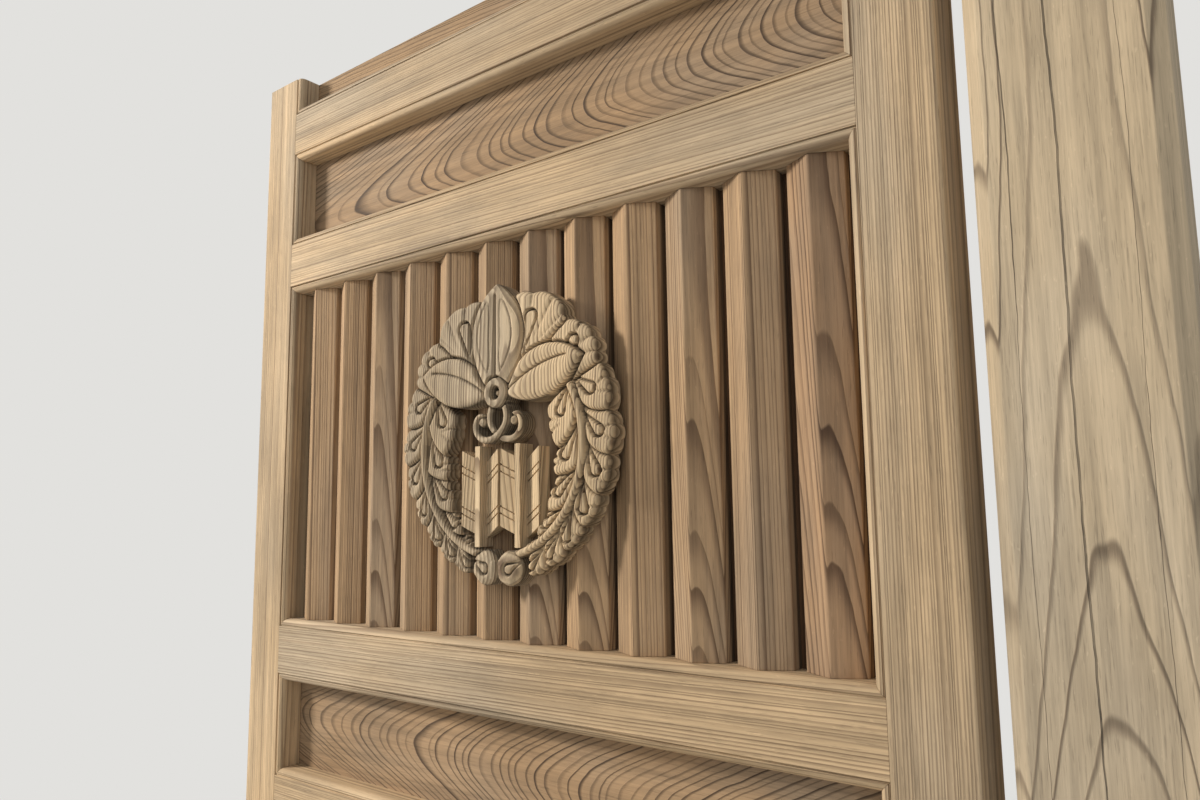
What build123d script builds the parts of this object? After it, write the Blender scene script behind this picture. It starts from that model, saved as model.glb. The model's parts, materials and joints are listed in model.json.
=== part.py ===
from build123d import *
import os
from math import atan2, cos, hypot, radians, sin

# A carved gate door: one framed leaf hung on pivots in a timber doorway frame, standing open at a
# right angle. Millimetres, +Z up. The origin is the centre of the hinge post's foot, the doorway
# runs along X away from the hinge post, and the leaf swings in on the +Y side.

# Leaf
LEAF_WIDTH = 1200.0
LEAF_HEIGHT = 2150.0
LEAF_THICKNESS = 78.0
LEAF_FOOT = 100.0           # ground to the underside of the leaf
STILE_FACE = 84.0           # flat of a stile, beside its moulded edge
RAIL_FACE = 76.0            # flat of a rail, between its two moulded edges
BOTTOM_RAIL_FACE = 128.0
TOP_STRIP = 56.5            # open heights between the rails, from the top
UPPER_PANEL = 144.0
LATTICE = 561.0
MIDDLE_PANEL = 140.0
ARRIS = 2.0                 # eased outer corners

# Moulded edge: a narrow quirk, then a quarter round
EDGE = 12.0
QUIRK_WIDTH = 2.5
QUIRK_DEPTH = 3.0
ROUND_DROP = 1.0

# Panels and their grooves
PANEL_FACE = 38.0           # depth of a panel's face behind the leaf's face
PANEL_THICKNESS = 12.0
GROOVE_DEPTH = 9.0
GROOVE_PLAY = 2.0           # room left for the panel to swell
TENON_THICKNESS = 26.0
TENON_LENGTH = 60.0
TENON_SHOULDER = 8.0        # rail face left above and below its tenon
MORTISE_PLAY = 2.0

# Lattice bars: a ridge in the middle of the face, and shoulders
BAR_COUNT = 12
BAR_WIDTH = 69.0
RIDGE_DEPTH = 11.0
RIDGE_FLAT = 2.0
SHOULDER_DEPTH = 30.0
BAR_BACK = 50.0
STUB_WIDTH = 30.0
STUB_THICKNESS = 10.0
STUB_LENGTH = 9.0
STUB_PLAY = 1.0
BOARD_COUNT = 5
BOARD_THICKNESS = 12.0
BOARD_JOINT = 1.5

# Doorway frame
POST = 168.0
POST_HORN = 105.0           # post above the head beam
POST_CHAMFER = 15.0
DOORWAY = 1090.0            # clear width between the posts
SILL_HEIGHT = 140.0
HEAD_LAP = 35.0             # how far the head reaches down over the leaf's top
HEAD_HEIGHT = 160.0
JOINT_TENON_LENGTH = 120.0
JOINT_TENON_THICKNESS = 50.0
JOINT_TENON_HEIGHT = 96.0
PEG_SIDE = 18.0             # square pegs
PEG_INSET = 45.0            # peg centre from the post's inner face
STOP_WIDTH = 30.0
STOP_CLEARANCE = 0.3
STRIKE_STOP_WIDTH = 24.0
STOP_END = 16.0             # stops end this far before the hinge post
NAIL_SIDE = 5.0             # square forged nails
NAIL_HEAD_SIDE = 12.0
NAIL_HEAD = 2.0
NAIL_BITE = 30.0
NAILS_PER_STOP = 5

# Pivots
PIVOT_INSET = 30.0          # pivot axis from the leaf's hinge edge
PIVOT_OFFSET = 55.0         # pivot axis from the hinge post's inner face
PIN_RADIUS = 12.0
PIN_BITE = 62.0             # length of a pin inside the stile
PIN_SEAT = 40.0             # length of a pin inside its socket
PIN_CLEARANCE = 0.05
PIN_THRUST = 0.2
SOCKET_WALL = 8.0           # thinnest wall of a square iron socket
SOCKET_FLOOR = 6.0
BLOCK_GAP = 6.0             # leaf to pivot block
BLOCK_HEIGHT = 94.0
BLOCK_WIDTH = 120.0
BLOCK_NOSE = 60.0           # pivot axis to the block's front
BLOCK_CHAMFER = 34.0
SPIKE_SIDE = 10.0
SPIKE_HEAD_SIDE = 22.0
SPIKE_HEAD = 4.0
SPIKE_SEAT = 55.0           # hinge post's face to the outside of a spike's head
SPIKE_BITE = 50.0
SPIKE_SPREAD = 24.0
SPIKE_INSET = 80.0          # spike line from the hinge post's corner

# Crest: a wreath of two hanging flower sprays with three leaves, a ring and two curls. Angles and
# radii are taken about the common centre of the two arched stems.
CREST_SHIFT = 7.0           # crest centre from the lattice's middle, towards the hinge
SPRAY_CENTRE = -20.0        # centre of the stems' arcs, below the crest's centre
STEM_RADIUS = 147.0
STEM_WIDTH = 10.0
STEM_TOP = 30.0
STEM_START = 36.0
STEM_END = -80.0
LEAFLET_TOP = 28.0          # height of a leaflet's back at the stem
LEAFLET_FALL = 0.12         # slope of its back towards the rim
LEAFLET_ROUND = 0.85        # radius of its back against its width
VAULT_REACH = 150.0         # half length of the cylinders that round off the backs
PETALS = 3                  # scallops on one leaflet's rim
SCALLOP = 2.8               # swell of a scallop beyond its two cusps
CUSP = 3.0                  # depth of the cusps inside one leaflet's rim
OUTER_ROOTS = (33.0, 15.3, -2.6, -19.0, -33.5, -47.0, -58.5, -71.0)
OUTER_NOTCHES = ((29.5, 196.0), (11.2, 187.0), (-6.0, 185.0), (-22.0, 181.0), (-36.5, 179.0))
OUTER_NOTCHES += ((-49.5, 178.0), (-61.0, 177.0), (-71.5, 176.0))
OUTER_CROWNS = (200.0, 196.0, 191.0, 187.0, 185.0, 184.0, 183.0)
INNER_ROOTS = (34.0, 14.6, -9.8, -30.0, -49.0, -70.0)
INNER_NOTCHES = ((30.0, 100.0), (-3.8, 107.0), (-22.0, 112.0))
INNER_NOTCHES += ((-44.0, 125.0), (-59.0, 138.0), (-70.0, 144.0))
INNER_CROWNS = (92.0, 99.0, 110.0, 124.0, 136.0)
LEAF_BASE = (17.0, 50.0)
LEAF_TIP = (148.0, 90.0)
LEAF_UPPER = (78.0, 109.0)
LEAF_LOWER = (96.0, 43.0)
LEAF_TOP = 33.0
LEAF_ROUND = 30.0           # radius of each half of a leaf's back
LEAF_SPREAD = 15.0          # middle of each half from the leaf's rib
BUD_APEX = 205.0
BUD_SIDE = (47.0, 136.0)
BUD_SHOULDER = (31.0, 180.0)
BUD_WAIST = (41.0, 97.0)
BUD_FOOT = (20.0, 62.0)
BUD_TOP = 33.0
BUD_ROUND = 30.0
BUD_SPREAD = 21.0
FLOWER_TOP = 30.0
FIRST_FLOWER = ((28.0, 182.0), (64.0, 182.0), (101.0, 171.0), (117.0, 146.0), (110.0, 130.0))
FIRST_ROOT = ((70.0, 96.0), (30.0, 60.0), (22.0, 80.0))
SECOND_FLOWER = ((114.0, 136.0), (144.0, 130.0), (160.0, 112.0), (166.0, 92.0), (163.0, 74.0))
SECOND_ROOT = ((122.0, 54.0), (72.0, 100.0))
FLOWER_SWELL = 5.0          # swell of a flower's scallops
RING_CENTRE = 53.0
RING_RADIUS = 21.0
RING_BORE = 9.0
RING_TOP = 33.0
RING_CHAMFER = 4.0
BOSS_RADIUS = 4.5
BOSS_TOP = 26.0
CURL_WIDTH = 8.5
CURL_TOP = 26.0
CURL_STEP = 3.0             # one curl passes over the other
CURL_FLOOR = -10.0          # middle line of the curls' lowest stretch
LOOP_CENTRE = (9.0, 12.0)
LOOP_START = 118.0
ROLL_CENTRE = (29.0, 6.0)
ROLL_TURN = 200.0
KNOB_CENTRE = (28.0, 14.5)
KNOB_RADIUS = 6.5
ROSETTE_CENTRE = (22.0, -181.0)
ROSETTE_RADIUS = 23.5
ROSETTE_ROUND = 40.0
DOWEL_SIDE = 8.0            # square dowels
DOWEL_BITE = 14.0           # length inside a bar
DOWEL_REACH = 9.0           # length inside the crest

# Feathers: two upright ribs with slanted vanes
FEATHER_CENTRE = 37.0
RIB_WIDTH = 9.4
RIB_TOP = 26.0
RIB_END_HIGH = -17.5
RIB_END_LOW = -154.0
VANE_REACH = 34.5
VANE_ROOT = 12.0
VANE_EDGE = 22.0
VANE_SLANT = 16.0
VANE_HIGH = -22.0
VANE_LOW = -126.0
NOTCH_WIDTH = 2.2
NOTCH_DEPTH = 3.0
NOTCH_PLACES = (-42.0, -51.5, -98.0, -107.5)

leaf_top = LEAF_FOOT + LEAF_HEIGHT
edge_line = STILE_FACE + EDGE
clear_width = LEAF_WIDTH - 2 * edge_line
half_post = POST / 2
strip_floor = leaf_top - TOP_STRIP
rail_height = RAIL_FACE + 2 * EDGE
upper_ceiling = strip_floor - rail_height
upper_floor = upper_ceiling - UPPER_PANEL
lattice_ceiling = upper_floor - rail_height
lattice_floor = lattice_ceiling - LATTICE
middle_ceiling = lattice_floor - rail_height
middle_floor = middle_ceiling - MIDDLE_PANEL
lower_ceiling = middle_floor - rail_height
lower_floor = LEAF_FOOT + BOTTOM_RAIL_FACE + EDGE
pivot_x = -half_post + LEAF_THICKNESS / 2
pivot_y = half_post + PIVOT_OFFSET
free_edge = pivot_y - PIVOT_INSET + LEAF_WIDTH
strike_face = -half_post - DOORWAY
head_floor = leaf_top - HEAD_LAP
post_top = head_floor + HEAD_HEIGHT + POST_HORN
closed_face = pivot_y - LEAF_THICKNESS / 2
beam_back = half_post - POST_CHAMFER
bar_gap = (clear_width - BAR_COUNT * BAR_WIDTH) / (BAR_COUNT + 1)
tongue = GROOVE_DEPTH - GROOVE_PLAY
crest_height = (lattice_ceiling + lattice_floor) / 2
crest_x = LEAF_WIDTH / 2 + CREST_SHIFT

# In the leaf's own frame X runs from the free edge to the hinge edge and Y goes into the leaf.
LEAF_PLACE = Location((-half_post, free_edge, 0), (0, 0, -90))
CREST_PLANE = Plane(origin=(crest_x, RIDGE_DEPTH, crest_height), x_dir=(1, 0, 0), z_dir=(0, -1, 0))


def slab(x0, x1, y0, y1, z0, z1):
    """A box from its two corners."""
    box = Box(x1 - x0, y1 - y0, z1 - z0, align=(Align.MIN, Align.MIN, Align.MIN))
    return Pos(x0, y0, z0) * box


def rod(radius, start, direction, length):
    """A cylinder that starts at a point and runs along a direction."""
    return Plane(origin=start, z_dir=direction) * extrude(Circle(radius), length)


def bolt(side, x, y0, y1, z):
    """A square bar along Y."""
    half = side / 2
    return slab(x - half, x + half, y0, y1, z - half, z + half)


def prism(points, height):
    """A straight prism over an outline given by its corners."""
    return extrude(make_face(Polyline(*points, close=True)), height)


def save(name, shape):
    """Write one piece of the doorway frame."""
    os.makedirs("parts", exist_ok=True)
    solids = shape.solids()
    export_step(solids[0] if len(solids) == 1 else Compound(children=list(solids)), f"parts/{name}.step")


def save_leaf(name, shape):
    """Write one piece of the leaf, moved from the leaf's frame to its open place."""
    save(name, LEAF_PLACE * shape)


def moulded_edge(length, groove_face, groove_width):
    """Moulded strip along one side of an opening, mitred at both ends and grooved for its panel."""
    back = Polyline(
        (EDGE, ROUND_DROP + EDGE - QUIRK_WIDTH),
        (EDGE, LEAF_THICKNESS),
        (0, LEAF_THICKNESS),
        (0, QUIRK_DEPTH),
        (QUIRK_WIDTH, QUIRK_DEPTH),
        (QUIRK_WIDTH, ROUND_DROP),
    )
    quarter = JernArc((QUIRK_WIDTH, ROUND_DROP), (1, 0), EDGE - QUIRK_WIDTH, 90)
    strip = extrude(make_face(Curve() + [back, quarter]), length)
    ends = [(0, 0), (EDGE, EDGE), (EDGE, length - EDGE), (0, length)]
    mitre = extrude(Plane.XZ * make_face(Polyline(*ends, close=True)), -LEAF_THICKNESS)
    groove = slab(EDGE - GROOVE_DEPTH, EDGE, groove_face, groove_face + groove_width, 0, length)
    return (strip & mitre) - groove


def openings():
    """The leaf's openings from the top: floor, ceiling, groove depth and groove width."""
    return [
        (strip_floor, leaf_top + EDGE, PANEL_FACE, PANEL_THICKNESS),
        (upper_floor, upper_ceiling, PANEL_FACE, PANEL_THICKNESS),
        (lattice_floor, lattice_ceiling, BAR_BACK, BOARD_THICKNESS),
        (middle_floor, middle_ceiling, PANEL_FACE, PANEL_THICKNESS),
        (lower_floor, lower_ceiling, PANEL_FACE, PANEL_THICKNESS),
    ]


def rails():
    """Name, flat's lower and upper height, tenon's lower and upper height of each rail."""
    table = []
    places = [("upper_rail", upper_ceiling), ("frieze_rail", lattice_ceiling)]
    places += [("lattice_rail", middle_ceiling), ("waist_rail", lower_ceiling)]
    for name, ceiling in places:
        low = ceiling + EDGE
        high = low + RAIL_FACE
        table.append((name, low, high, low + TENON_SHOULDER, high - TENON_SHOULDER))
    low = LEAF_FOOT
    high = LEAF_FOOT + BOTTOM_RAIL_FACE
    table.append(("bottom_rail", low, high, low + PIN_BITE + TENON_SHOULDER, high - TENON_SHOULDER / 2))
    return table


def tenon(x0, x1, low, high):
    """Tenon or mortise block in the middle of the leaf's thickness."""
    front = (LEAF_THICKNESS - TENON_THICKNESS) / 2
    return slab(x0, x1, front, front + TENON_THICKNESS, low, high)


def stile():
    """Free stile: a plain post with moulded strips beside the openings and mortises for the rails."""
    blank = slab(0, STILE_FACE, 0, LEAF_THICKNESS, LEAF_FOOT, leaf_top)
    outer = blank.edges().filter_by(Axis.Z).group_by(Axis.X)[0]
    body = chamfer(outer, ARRIS)
    for floor, ceiling, groove_face, groove_width in openings():
        strip = moulded_edge(ceiling - floor + 2 * EDGE, groove_face, groove_width)
        body += Pos(STILE_FACE, 0, floor - EDGE) * strip
    body &= slab(0, edge_line, 0, LEAF_THICKNESS, LEAF_FOOT, leaf_top)
    for _, _, _, low, high in rails():
        body -= tenon(STILE_FACE - TENON_LENGTH - MORTISE_PLAY, STILE_FACE, low, high)
    return body


def hinge_stile():
    """The stile on the hinge side, bored at both ends for the pivot pins."""
    body = mirror(stile(), Plane(origin=(LEAF_WIDTH / 2, 0, 0), z_dir=(1, 0, 0)))
    for pin in pivot_pins():
        body -= pin
    return body


def pivot_pins():
    """Lower and upper pins, in the leaf's frame."""
    x = LEAF_WIDTH - PIVOT_INSET
    y = LEAF_THICKNESS / 2
    length = PIN_BITE + BLOCK_GAP + PIN_SEAT
    lower = rod(PIN_RADIUS, (x, y, LEAF_FOOT + PIN_BITE), (0, 0, -1), length - PIN_THRUST)
    upper = rod(PIN_RADIUS, (x, y, leaf_top - PIN_BITE), (0, 0, 1), length)
    return [lower, upper]


def rail(low, high, tenon_low, tenon_high, grooves):
    """A rail with moulded edges above and below, as far as it borders an opening, and two tenons."""
    far = LEAF_WIDTH - STILE_FACE
    length = far - STILE_FACE
    body = slab(STILE_FACE, far, 0, LEAF_THICKNESS, low, high)
    above, below = grooves
    if above:
        top = Plane(origin=(far, 0, high), x_dir=(0, 0, 1), z_dir=(-1, 0, 0))
        body += top * moulded_edge(length, *above)
    if below:
        foot = Plane(origin=(STILE_FACE, 0, low), x_dir=(0, 0, -1), z_dir=(1, 0, 0))
        body += foot * moulded_edge(length, *below)
    body += tenon(STILE_FACE - TENON_LENGTH, STILE_FACE, tenon_low, tenon_high)
    body += tenon(far, far + TENON_LENGTH, tenon_low, tenon_high)
    return body


def bar_x(index):
    """Middle line of a lattice bar."""
    return edge_line + bar_gap + BAR_WIDTH / 2 + index * (BAR_WIDTH + bar_gap)


def bar_stub(x, z0, z1):
    """Stub tenon of a lattice bar, and its mortise."""
    front = (SHOULDER_DEPTH + BAR_BACK - STUB_THICKNESS) / 2
    return slab(x - STUB_WIDTH / 2, x + STUB_WIDTH / 2, front, front + STUB_THICKNESS, z0, z1)


def lattice_bar(index):
    """One upright bar with a ridged face, stub tenons and dowel holes behind the crest."""
    half = BAR_WIDTH / 2
    flat = RIDGE_FLAT / 2
    section = [(-half, SHOULDER_DEPTH), (-flat, RIDGE_DEPTH), (flat, RIDGE_DEPTH)]
    section += [(half, SHOULDER_DEPTH), (half, BAR_BACK), (-half, BAR_BACK)]
    x = bar_x(index)
    body = Pos(x, 0, lattice_floor) * prism(section, LATTICE)
    body += bar_stub(x, lattice_floor - STUB_LENGTH, lattice_floor)
    body += bar_stub(x, lattice_ceiling, lattice_ceiling + STUB_LENGTH)
    for bar, dowel in crest_dowels():
        if bar == index:
            body -= dowel
    return body


def rail_pieces():
    """The five rails; the two beside the lattice are mortised for its bars."""
    around = openings()
    reach = STUB_LENGTH + STUB_PLAY
    pieces = {}
    for number, (name, low, high, tenon_low, tenon_high) in enumerate(rails()):
        above = around[number][2:]
        below = around[number + 1][2:] if number + 1 < len(around) else None
        pieces[name] = rail(low, high, tenon_low, tenon_high, (above, below))
    for index in range(BAR_COUNT):
        x = bar_x(index)
        pieces["frieze_rail"] -= bar_stub(x, lattice_ceiling, lattice_ceiling + reach)
        pieces["lattice_rail"] -= bar_stub(x, lattice_floor - reach, lattice_floor)
    return pieces


def panel(floor, ceiling):
    """A flat panel held in the grooves of its frame."""
    left = edge_line - tongue
    right = LEAF_WIDTH - edge_line + tongue
    return slab(left, right, PANEL_FACE, PANEL_FACE + PANEL_THICKNESS, floor - tongue, ceiling)


def backing_board(index):
    """One of the upright boards behind the lattice."""
    span = clear_width + 2 * tongue
    width = (span - (BOARD_COUNT - 1) * BOARD_JOINT) / BOARD_COUNT
    left = edge_line - tongue + index * (width + BOARD_JOINT)
    low = lattice_floor - tongue
    return slab(left, left + width, BAR_BACK, BAR_BACK + BOARD_THICKNESS, low, lattice_ceiling + tongue)


def crest_dowels():
    """Dowels between the bars' ridges and the crest: bar number and dowel, in the leaf's frame."""
    places = [(4, -30), (7, -30), (5, 130), (6, 120), (5, -85), (6, -85)]
    dowels = []
    for bar, rise in places:
        front = RIDGE_DEPTH - DOWEL_REACH
        dowel = bolt(DOWEL_SIDE, bar_x(bar), front, RIDGE_DEPTH + DOWEL_BITE, crest_height + rise)
        dowels.append((bar, dowel))
    return dowels


def spray_point(angle, radius):
    """A point given by its angle and radius about the stems' centre."""
    return radius * cos(radians(angle)), SPRAY_CENTRE + radius * sin(radians(angle))


def petalled(cusps, root, swell):
    """Outline with scallops that swell between cusps, closed over the corners of its root."""
    rim = [SagittaArc(start, end, swell) for start, end in zip(cusps, cusps[1:])]
    return make_face(Curve() + rim + [Polyline(cusps[-1], *root, cusps[0])])


def vault(start, end, top, fall, radius):
    """A long cylinder whose crest line runs over start and end and falls away towards the end."""
    run = Vector(end[0] - start[0], end[1] - start[1], 0)
    middle = Vector((start[0] + end[0]) / 2, (start[1] + end[1]) / 2, top - fall * run.length / 2 - radius)
    direction = Vector(run.X, run.Y, -fall * run.length).normalized()
    return rod(radius, middle - direction * VAULT_REACH, direction, 2 * VAULT_REACH)


def leaflet(roots, notches, crown, swell):
    """One scalloped leaflet between the stem and a rim, with a rounded back."""
    (start, start_radius), (end, end_radius) = notches
    shares = [number / PETALS for number in range(1, PETALS)]
    inside = CUSP if crown > STEM_RADIUS else -CUSP
    cusps = [spray_point(start + share * (end - start), crown - inside) for share in shares]
    cusps = [spray_point(start, start_radius)] + cusps + [spray_point(end, end_radius)]
    foot = [spray_point(angle, STEM_RADIUS) for angle in reversed(roots)]
    middle = spray_point(sum(roots) / 2, STEM_RADIUS)
    tip = spray_point((start + end) / 2, crown)
    width = hypot(cusps[-1][0] - cusps[0][0], cusps[-1][1] - cusps[0][1])
    back = vault(middle, tip, LEAFLET_TOP, LEAFLET_FALL, LEAFLET_ROUND * width)
    return extrude(petalled(cusps, foot, swell), STEM_TOP) & back


def spray(roots, notches, crowns, swell):
    """All leaflets on one side of a stem."""
    pairs = zip(zip(roots, roots[1:]), zip(notches, notches[1:]), crowns)
    return [leaflet(root, rim, crown, swell) for root, rim, crown in pairs]


def stem():
    """The arched stem of one spray."""
    half = STEM_WIDTH / 2
    middle = (STEM_START + STEM_END) / 2
    outside = [spray_point(a, STEM_RADIUS + half) for a in (STEM_START, middle, STEM_END)]
    inside = [spray_point(a, STEM_RADIUS - half) for a in (STEM_END, middle, STEM_START)]
    outline = Curve() + [ThreePointArc(*outside), ThreePointArc(*inside)]
    outline += [Line(outside[2], inside[0]), Line(inside[2], outside[0])]
    return extrude(make_face(outline), STEM_TOP)


def flower(cusps, root, top):
    """An open flower whose scalloped rim fans out from its root."""
    start = ((root[0][0] + root[-1][0]) / 2, (root[0][1] + root[-1][1]) / 2)
    end = cusps[len(cusps) // 2]
    width = hypot(cusps[-1][0] - cusps[0][0], cusps[-1][1] - cusps[0][1])
    back = vault(start, end, top, LEAFLET_FALL, LEAFLET_ROUND * width)
    return extrude(petalled(cusps, root, FLOWER_SWELL), top) & back


def paired_vaults(start, end, top, spread, radius):
    """Two vaults side by side, which meet in a groove over the line from start to end."""
    turn = atan2(end[1] - start[1], end[0] - start[0])
    pair = Part()
    for side in (-spread, spread):
        shift = (-side * sin(turn), side * cos(turn))
        near = (start[0] + shift[0], start[1] + shift[1])
        far = (end[0] + shift[0], end[1] + shift[1])
        pair += vault(near, far, top, 0, radius)
    return pair


def broad_leaf():
    """A pointed leaf with two swelling halves beside its rib."""
    outline = ThreePointArc(LEAF_BASE, LEAF_UPPER, LEAF_TIP) + ThreePointArc(LEAF_TIP, LEAF_LOWER, LEAF_BASE)
    back = paired_vaults(LEAF_BASE, LEAF_TIP, LEAF_TOP, LEAF_SPREAD, LEAF_ROUND)
    return extrude(make_face(outline), LEAF_TOP) & back


def bud():
    """The pointed bud over the ring, in two round halves."""
    apex = (0, BUD_APEX)
    right = ThreePointArc(apex, BUD_SHOULDER, BUD_SIDE) + ThreePointArc(BUD_SIDE, BUD_WAIST, BUD_FOOT)
    left = mirror(right, Plane.YZ)
    face = make_face(Curve() + [right, left, Line(BUD_FOOT, (-BUD_FOOT[0], BUD_FOOT[1]))])
    back = paired_vaults((0, BUD_FOOT[1]), apex, BUD_TOP, BUD_SPREAD, BUD_ROUND)
    return extrude(face, BUD_TOP) & back


def ring():
    """The ring that ties leaves, bud and curls together, with a small boss inside."""
    body = Pos(0, RING_CENTRE, 0) * extrude(Circle(RING_RADIUS), RING_TOP)
    body = chamfer(body.edges().group_by(Axis.Z)[-1], RING_CHAMFER)
    body -= Pos(0, RING_CENTRE, RING_TOP / 2) * extrude(Circle(RING_BORE), RING_TOP)
    return body + Pos(0, RING_CENTRE, 0) * extrude(Circle(BOSS_RADIUS), BOSS_TOP)


def curl(height):
    """A tendril that leaves the ring, loops under it and rolls up beside it."""
    sweep = 270 - LOOP_START
    loop = CenterArc(LOOP_CENTRE, LOOP_CENTRE[1] - CURL_FLOOR, LOOP_START, sweep)
    run = Line((LOOP_CENTRE[0], CURL_FLOOR), (ROLL_CENTRE[0], CURL_FLOOR))
    roll = CenterArc(ROLL_CENTRE, ROLL_CENTRE[1] - CURL_FLOOR, -90, ROLL_TURN)
    path = Curve() + [loop, run, roll]
    return extrude(trace(path, CURL_WIDTH) + Pos(*KNOB_CENTRE) * Circle(KNOB_RADIUS), height)


def rosette():
    """The rolled tip of a spray."""
    x, y = ROSETTE_CENTRE
    back = vault((x, y), spray_point(STEM_END, STEM_RADIUS), LEAFLET_TOP, 0, ROSETTE_ROUND)
    return extrude(Pos(x, y) * Circle(ROSETTE_RADIUS), LEAFLET_TOP) & back


def carved_wreath():
    """The whole wreath as one carved piece, with holes for its dowels."""
    half = Part() + spray(OUTER_ROOTS, OUTER_NOTCHES, OUTER_CROWNS, SCALLOP)
    half += spray(INNER_ROOTS, INNER_NOTCHES, INNER_CROWNS, -SCALLOP)
    half += [stem(), rosette(), broad_leaf()]
    half += [flower(FIRST_FLOWER, FIRST_ROOT, FLOWER_TOP), flower(SECOND_FLOWER, SECOND_ROOT, LEAFLET_TOP)]
    body = half + mirror(half, Plane.YZ)
    body += [bud(), ring(), curl(CURL_TOP), mirror(curl(CURL_TOP + CURL_STEP), Plane.YZ)]
    return drill_crest(CREST_PLANE * body)


def drill_crest(body):
    """Bore the dowel holes in a piece of the crest."""
    for _, dowel in crest_dowels():
        body -= dowel
    return body


def vane(side):
    """One slanted vane beside a feather's rib, with four diagonal notches."""
    root = side * RIB_WIDTH / 2
    tip = side * VANE_REACH
    corners = [(root, VANE_HIGH - VANE_SLANT), (tip, VANE_HIGH)]
    corners += [(tip, VANE_LOW), (root, VANE_LOW - VANE_SLANT)]
    slope = [(root, 0), (tip, 0), (tip, VANE_EDGE), (root, VANE_ROOT)]
    wedge = extrude(Plane.XZ * make_face(Polyline(*slope, close=True)), LATTICE)
    body = prism(corners, VANE_EDGE) & wedge
    for place in NOTCH_PLACES:
        low = [(root, place - VANE_SLANT - NOTCH_WIDTH), (tip, place - NOTCH_WIDTH)]
        cut = prism(low + [(tip, place), (root, place - VANE_SLANT)], VANE_EDGE)
        body -= cut - Pos(0, 0, -NOTCH_DEPTH) * wedge
    return body


def feather(side):
    """An upright feather: a square rib with two vanes that rise away from it."""
    half = RIB_WIDTH / 2
    body = slab(-half, half, RIB_END_LOW, RIB_END_HIGH, 0, RIB_TOP)
    body += [vane(-1), vane(1)]
    return drill_crest(CREST_PLANE * (Pos(side * FEATHER_CENTRE, 0, 0) * body))


def post(centre_x):
    """A square post with chamfered corners, mortised for the head, the sill and their pegs."""
    blank = slab(centre_x - half_post, centre_x + half_post, -half_post, half_post, 0, post_top)
    body = chamfer(blank.edges().filter_by(Axis.Z), POST_CHAMFER)
    for beam in (beam_tenons(0, SILL_HEIGHT), beam_tenons(head_floor, head_floor + HEAD_HEIGHT)):
        body -= beam
    for peg in frame_pegs():
        body -= peg
    return body


def beam_tenons(low, high):
    """The long tongue that runs through a beam into both posts."""
    left = strike_face - JOINT_TENON_LENGTH
    right = -half_post + JOINT_TENON_LENGTH
    middle = (low + high) / 2
    half = JOINT_TENON_HEIGHT / 2
    thick = JOINT_TENON_THICKNESS / 2
    return slab(left, right, -thick, thick, middle - half, middle + half)


def beam(low, high):
    """A beam between the posts with a tenon at each end."""
    body = slab(strike_face, -half_post, -beam_back, beam_back, low, high)
    body += beam_tenons(low, high)
    for peg in frame_pegs():
        body -= peg
    return body


def frame_pegs():
    """Pegs through the posts that lock the four beam joints, two to a joint."""
    pegs = []
    for centre in (SILL_HEIGHT / 2, head_floor + HEAD_HEIGHT / 2):
        for x in (strike_face - PEG_INSET, -half_post + PEG_INSET):
            for offset in (-JOINT_TENON_HEIGHT / 4, JOINT_TENON_HEIGHT / 4):
                pegs.append(bolt(PEG_SIDE, x, -half_post, half_post, centre + offset))
    return pegs


def stop_face():
    """The plane in which the doorstops meet the closed leaf."""
    return closed_face - STOP_CLEARANCE


def doorstops():
    """Name and blank of the battens that the closed leaf rests against."""
    near = -half_post - STOP_END
    lap = strike_face - POST_CHAMFER
    head = slab(strike_face, near, beam_back, stop_face(), head_floor, head_floor + STOP_WIDTH)
    sill = slab(strike_face, near, beam_back, stop_face(), SILL_HEIGHT - STOP_WIDTH, SILL_HEIGHT)
    strike = slab(lap - STRIKE_STOP_WIDTH, lap, half_post, stop_face(), SILL_HEIGHT, head_floor)
    return {"head_stop": head, "sill_stop": sill, "strike_stop": strike}


def nail(x, z):
    """A square iron nail driven in along -Y, with its head sunk flush with the stop's face."""
    shank = bolt(NAIL_SIDE, x, beam_back - NAIL_BITE, stop_face(), z)
    return shank + bolt(NAIL_HEAD_SIDE, x, stop_face() - NAIL_HEAD, stop_face(), z)


def stop_nails():
    """Nails along the three doorstops."""
    near = -half_post - STOP_END
    lap = strike_face - POST_CHAMFER - STRIKE_STOP_WIDTH / 2
    nails = []
    for number in range(NAILS_PER_STOP):
        share = (number + 0.5) / NAILS_PER_STOP
        x = strike_face + share * (near - strike_face)
        nails.append(nail(x, head_floor + STOP_WIDTH / 2))
        nails.append(nail(x, SILL_HEIGHT - STOP_WIDTH / 2))
        nails.append(nail(lap, SILL_HEIGHT + share * (head_floor - SILL_HEIGHT)))
    return nails


def socket_blank(mouth, direction):
    """Outside of an iron socket; it opens at the mouth and reaches along Z in the given direction."""
    side = 2 * (PIN_RADIUS + SOCKET_WALL)
    floor = mouth + direction * (PIN_SEAT + SOCKET_FLOOR)
    low, high = sorted((mouth, floor))
    return slab(pivot_x - side / 2, pivot_x + side / 2, pivot_y - side / 2, pivot_y + side / 2, low, high)


def pivot_block(low, mouth, direction):
    """A block on the hinge post's inner face with two chamfered front corners, holding a socket."""
    left = pivot_x - BLOCK_WIDTH / 2
    blank = slab(left, left + BLOCK_WIDTH, half_post, pivot_y + BLOCK_NOSE, low, low + BLOCK_HEIGHT)
    front = blank.edges().filter_by(Axis.Z).group_by(Axis.Y)[-1]
    body = chamfer(front, BLOCK_CHAMFER) - socket_blank(mouth, direction)
    for spike in block_spikes():
        body -= spike
    return body


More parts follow.
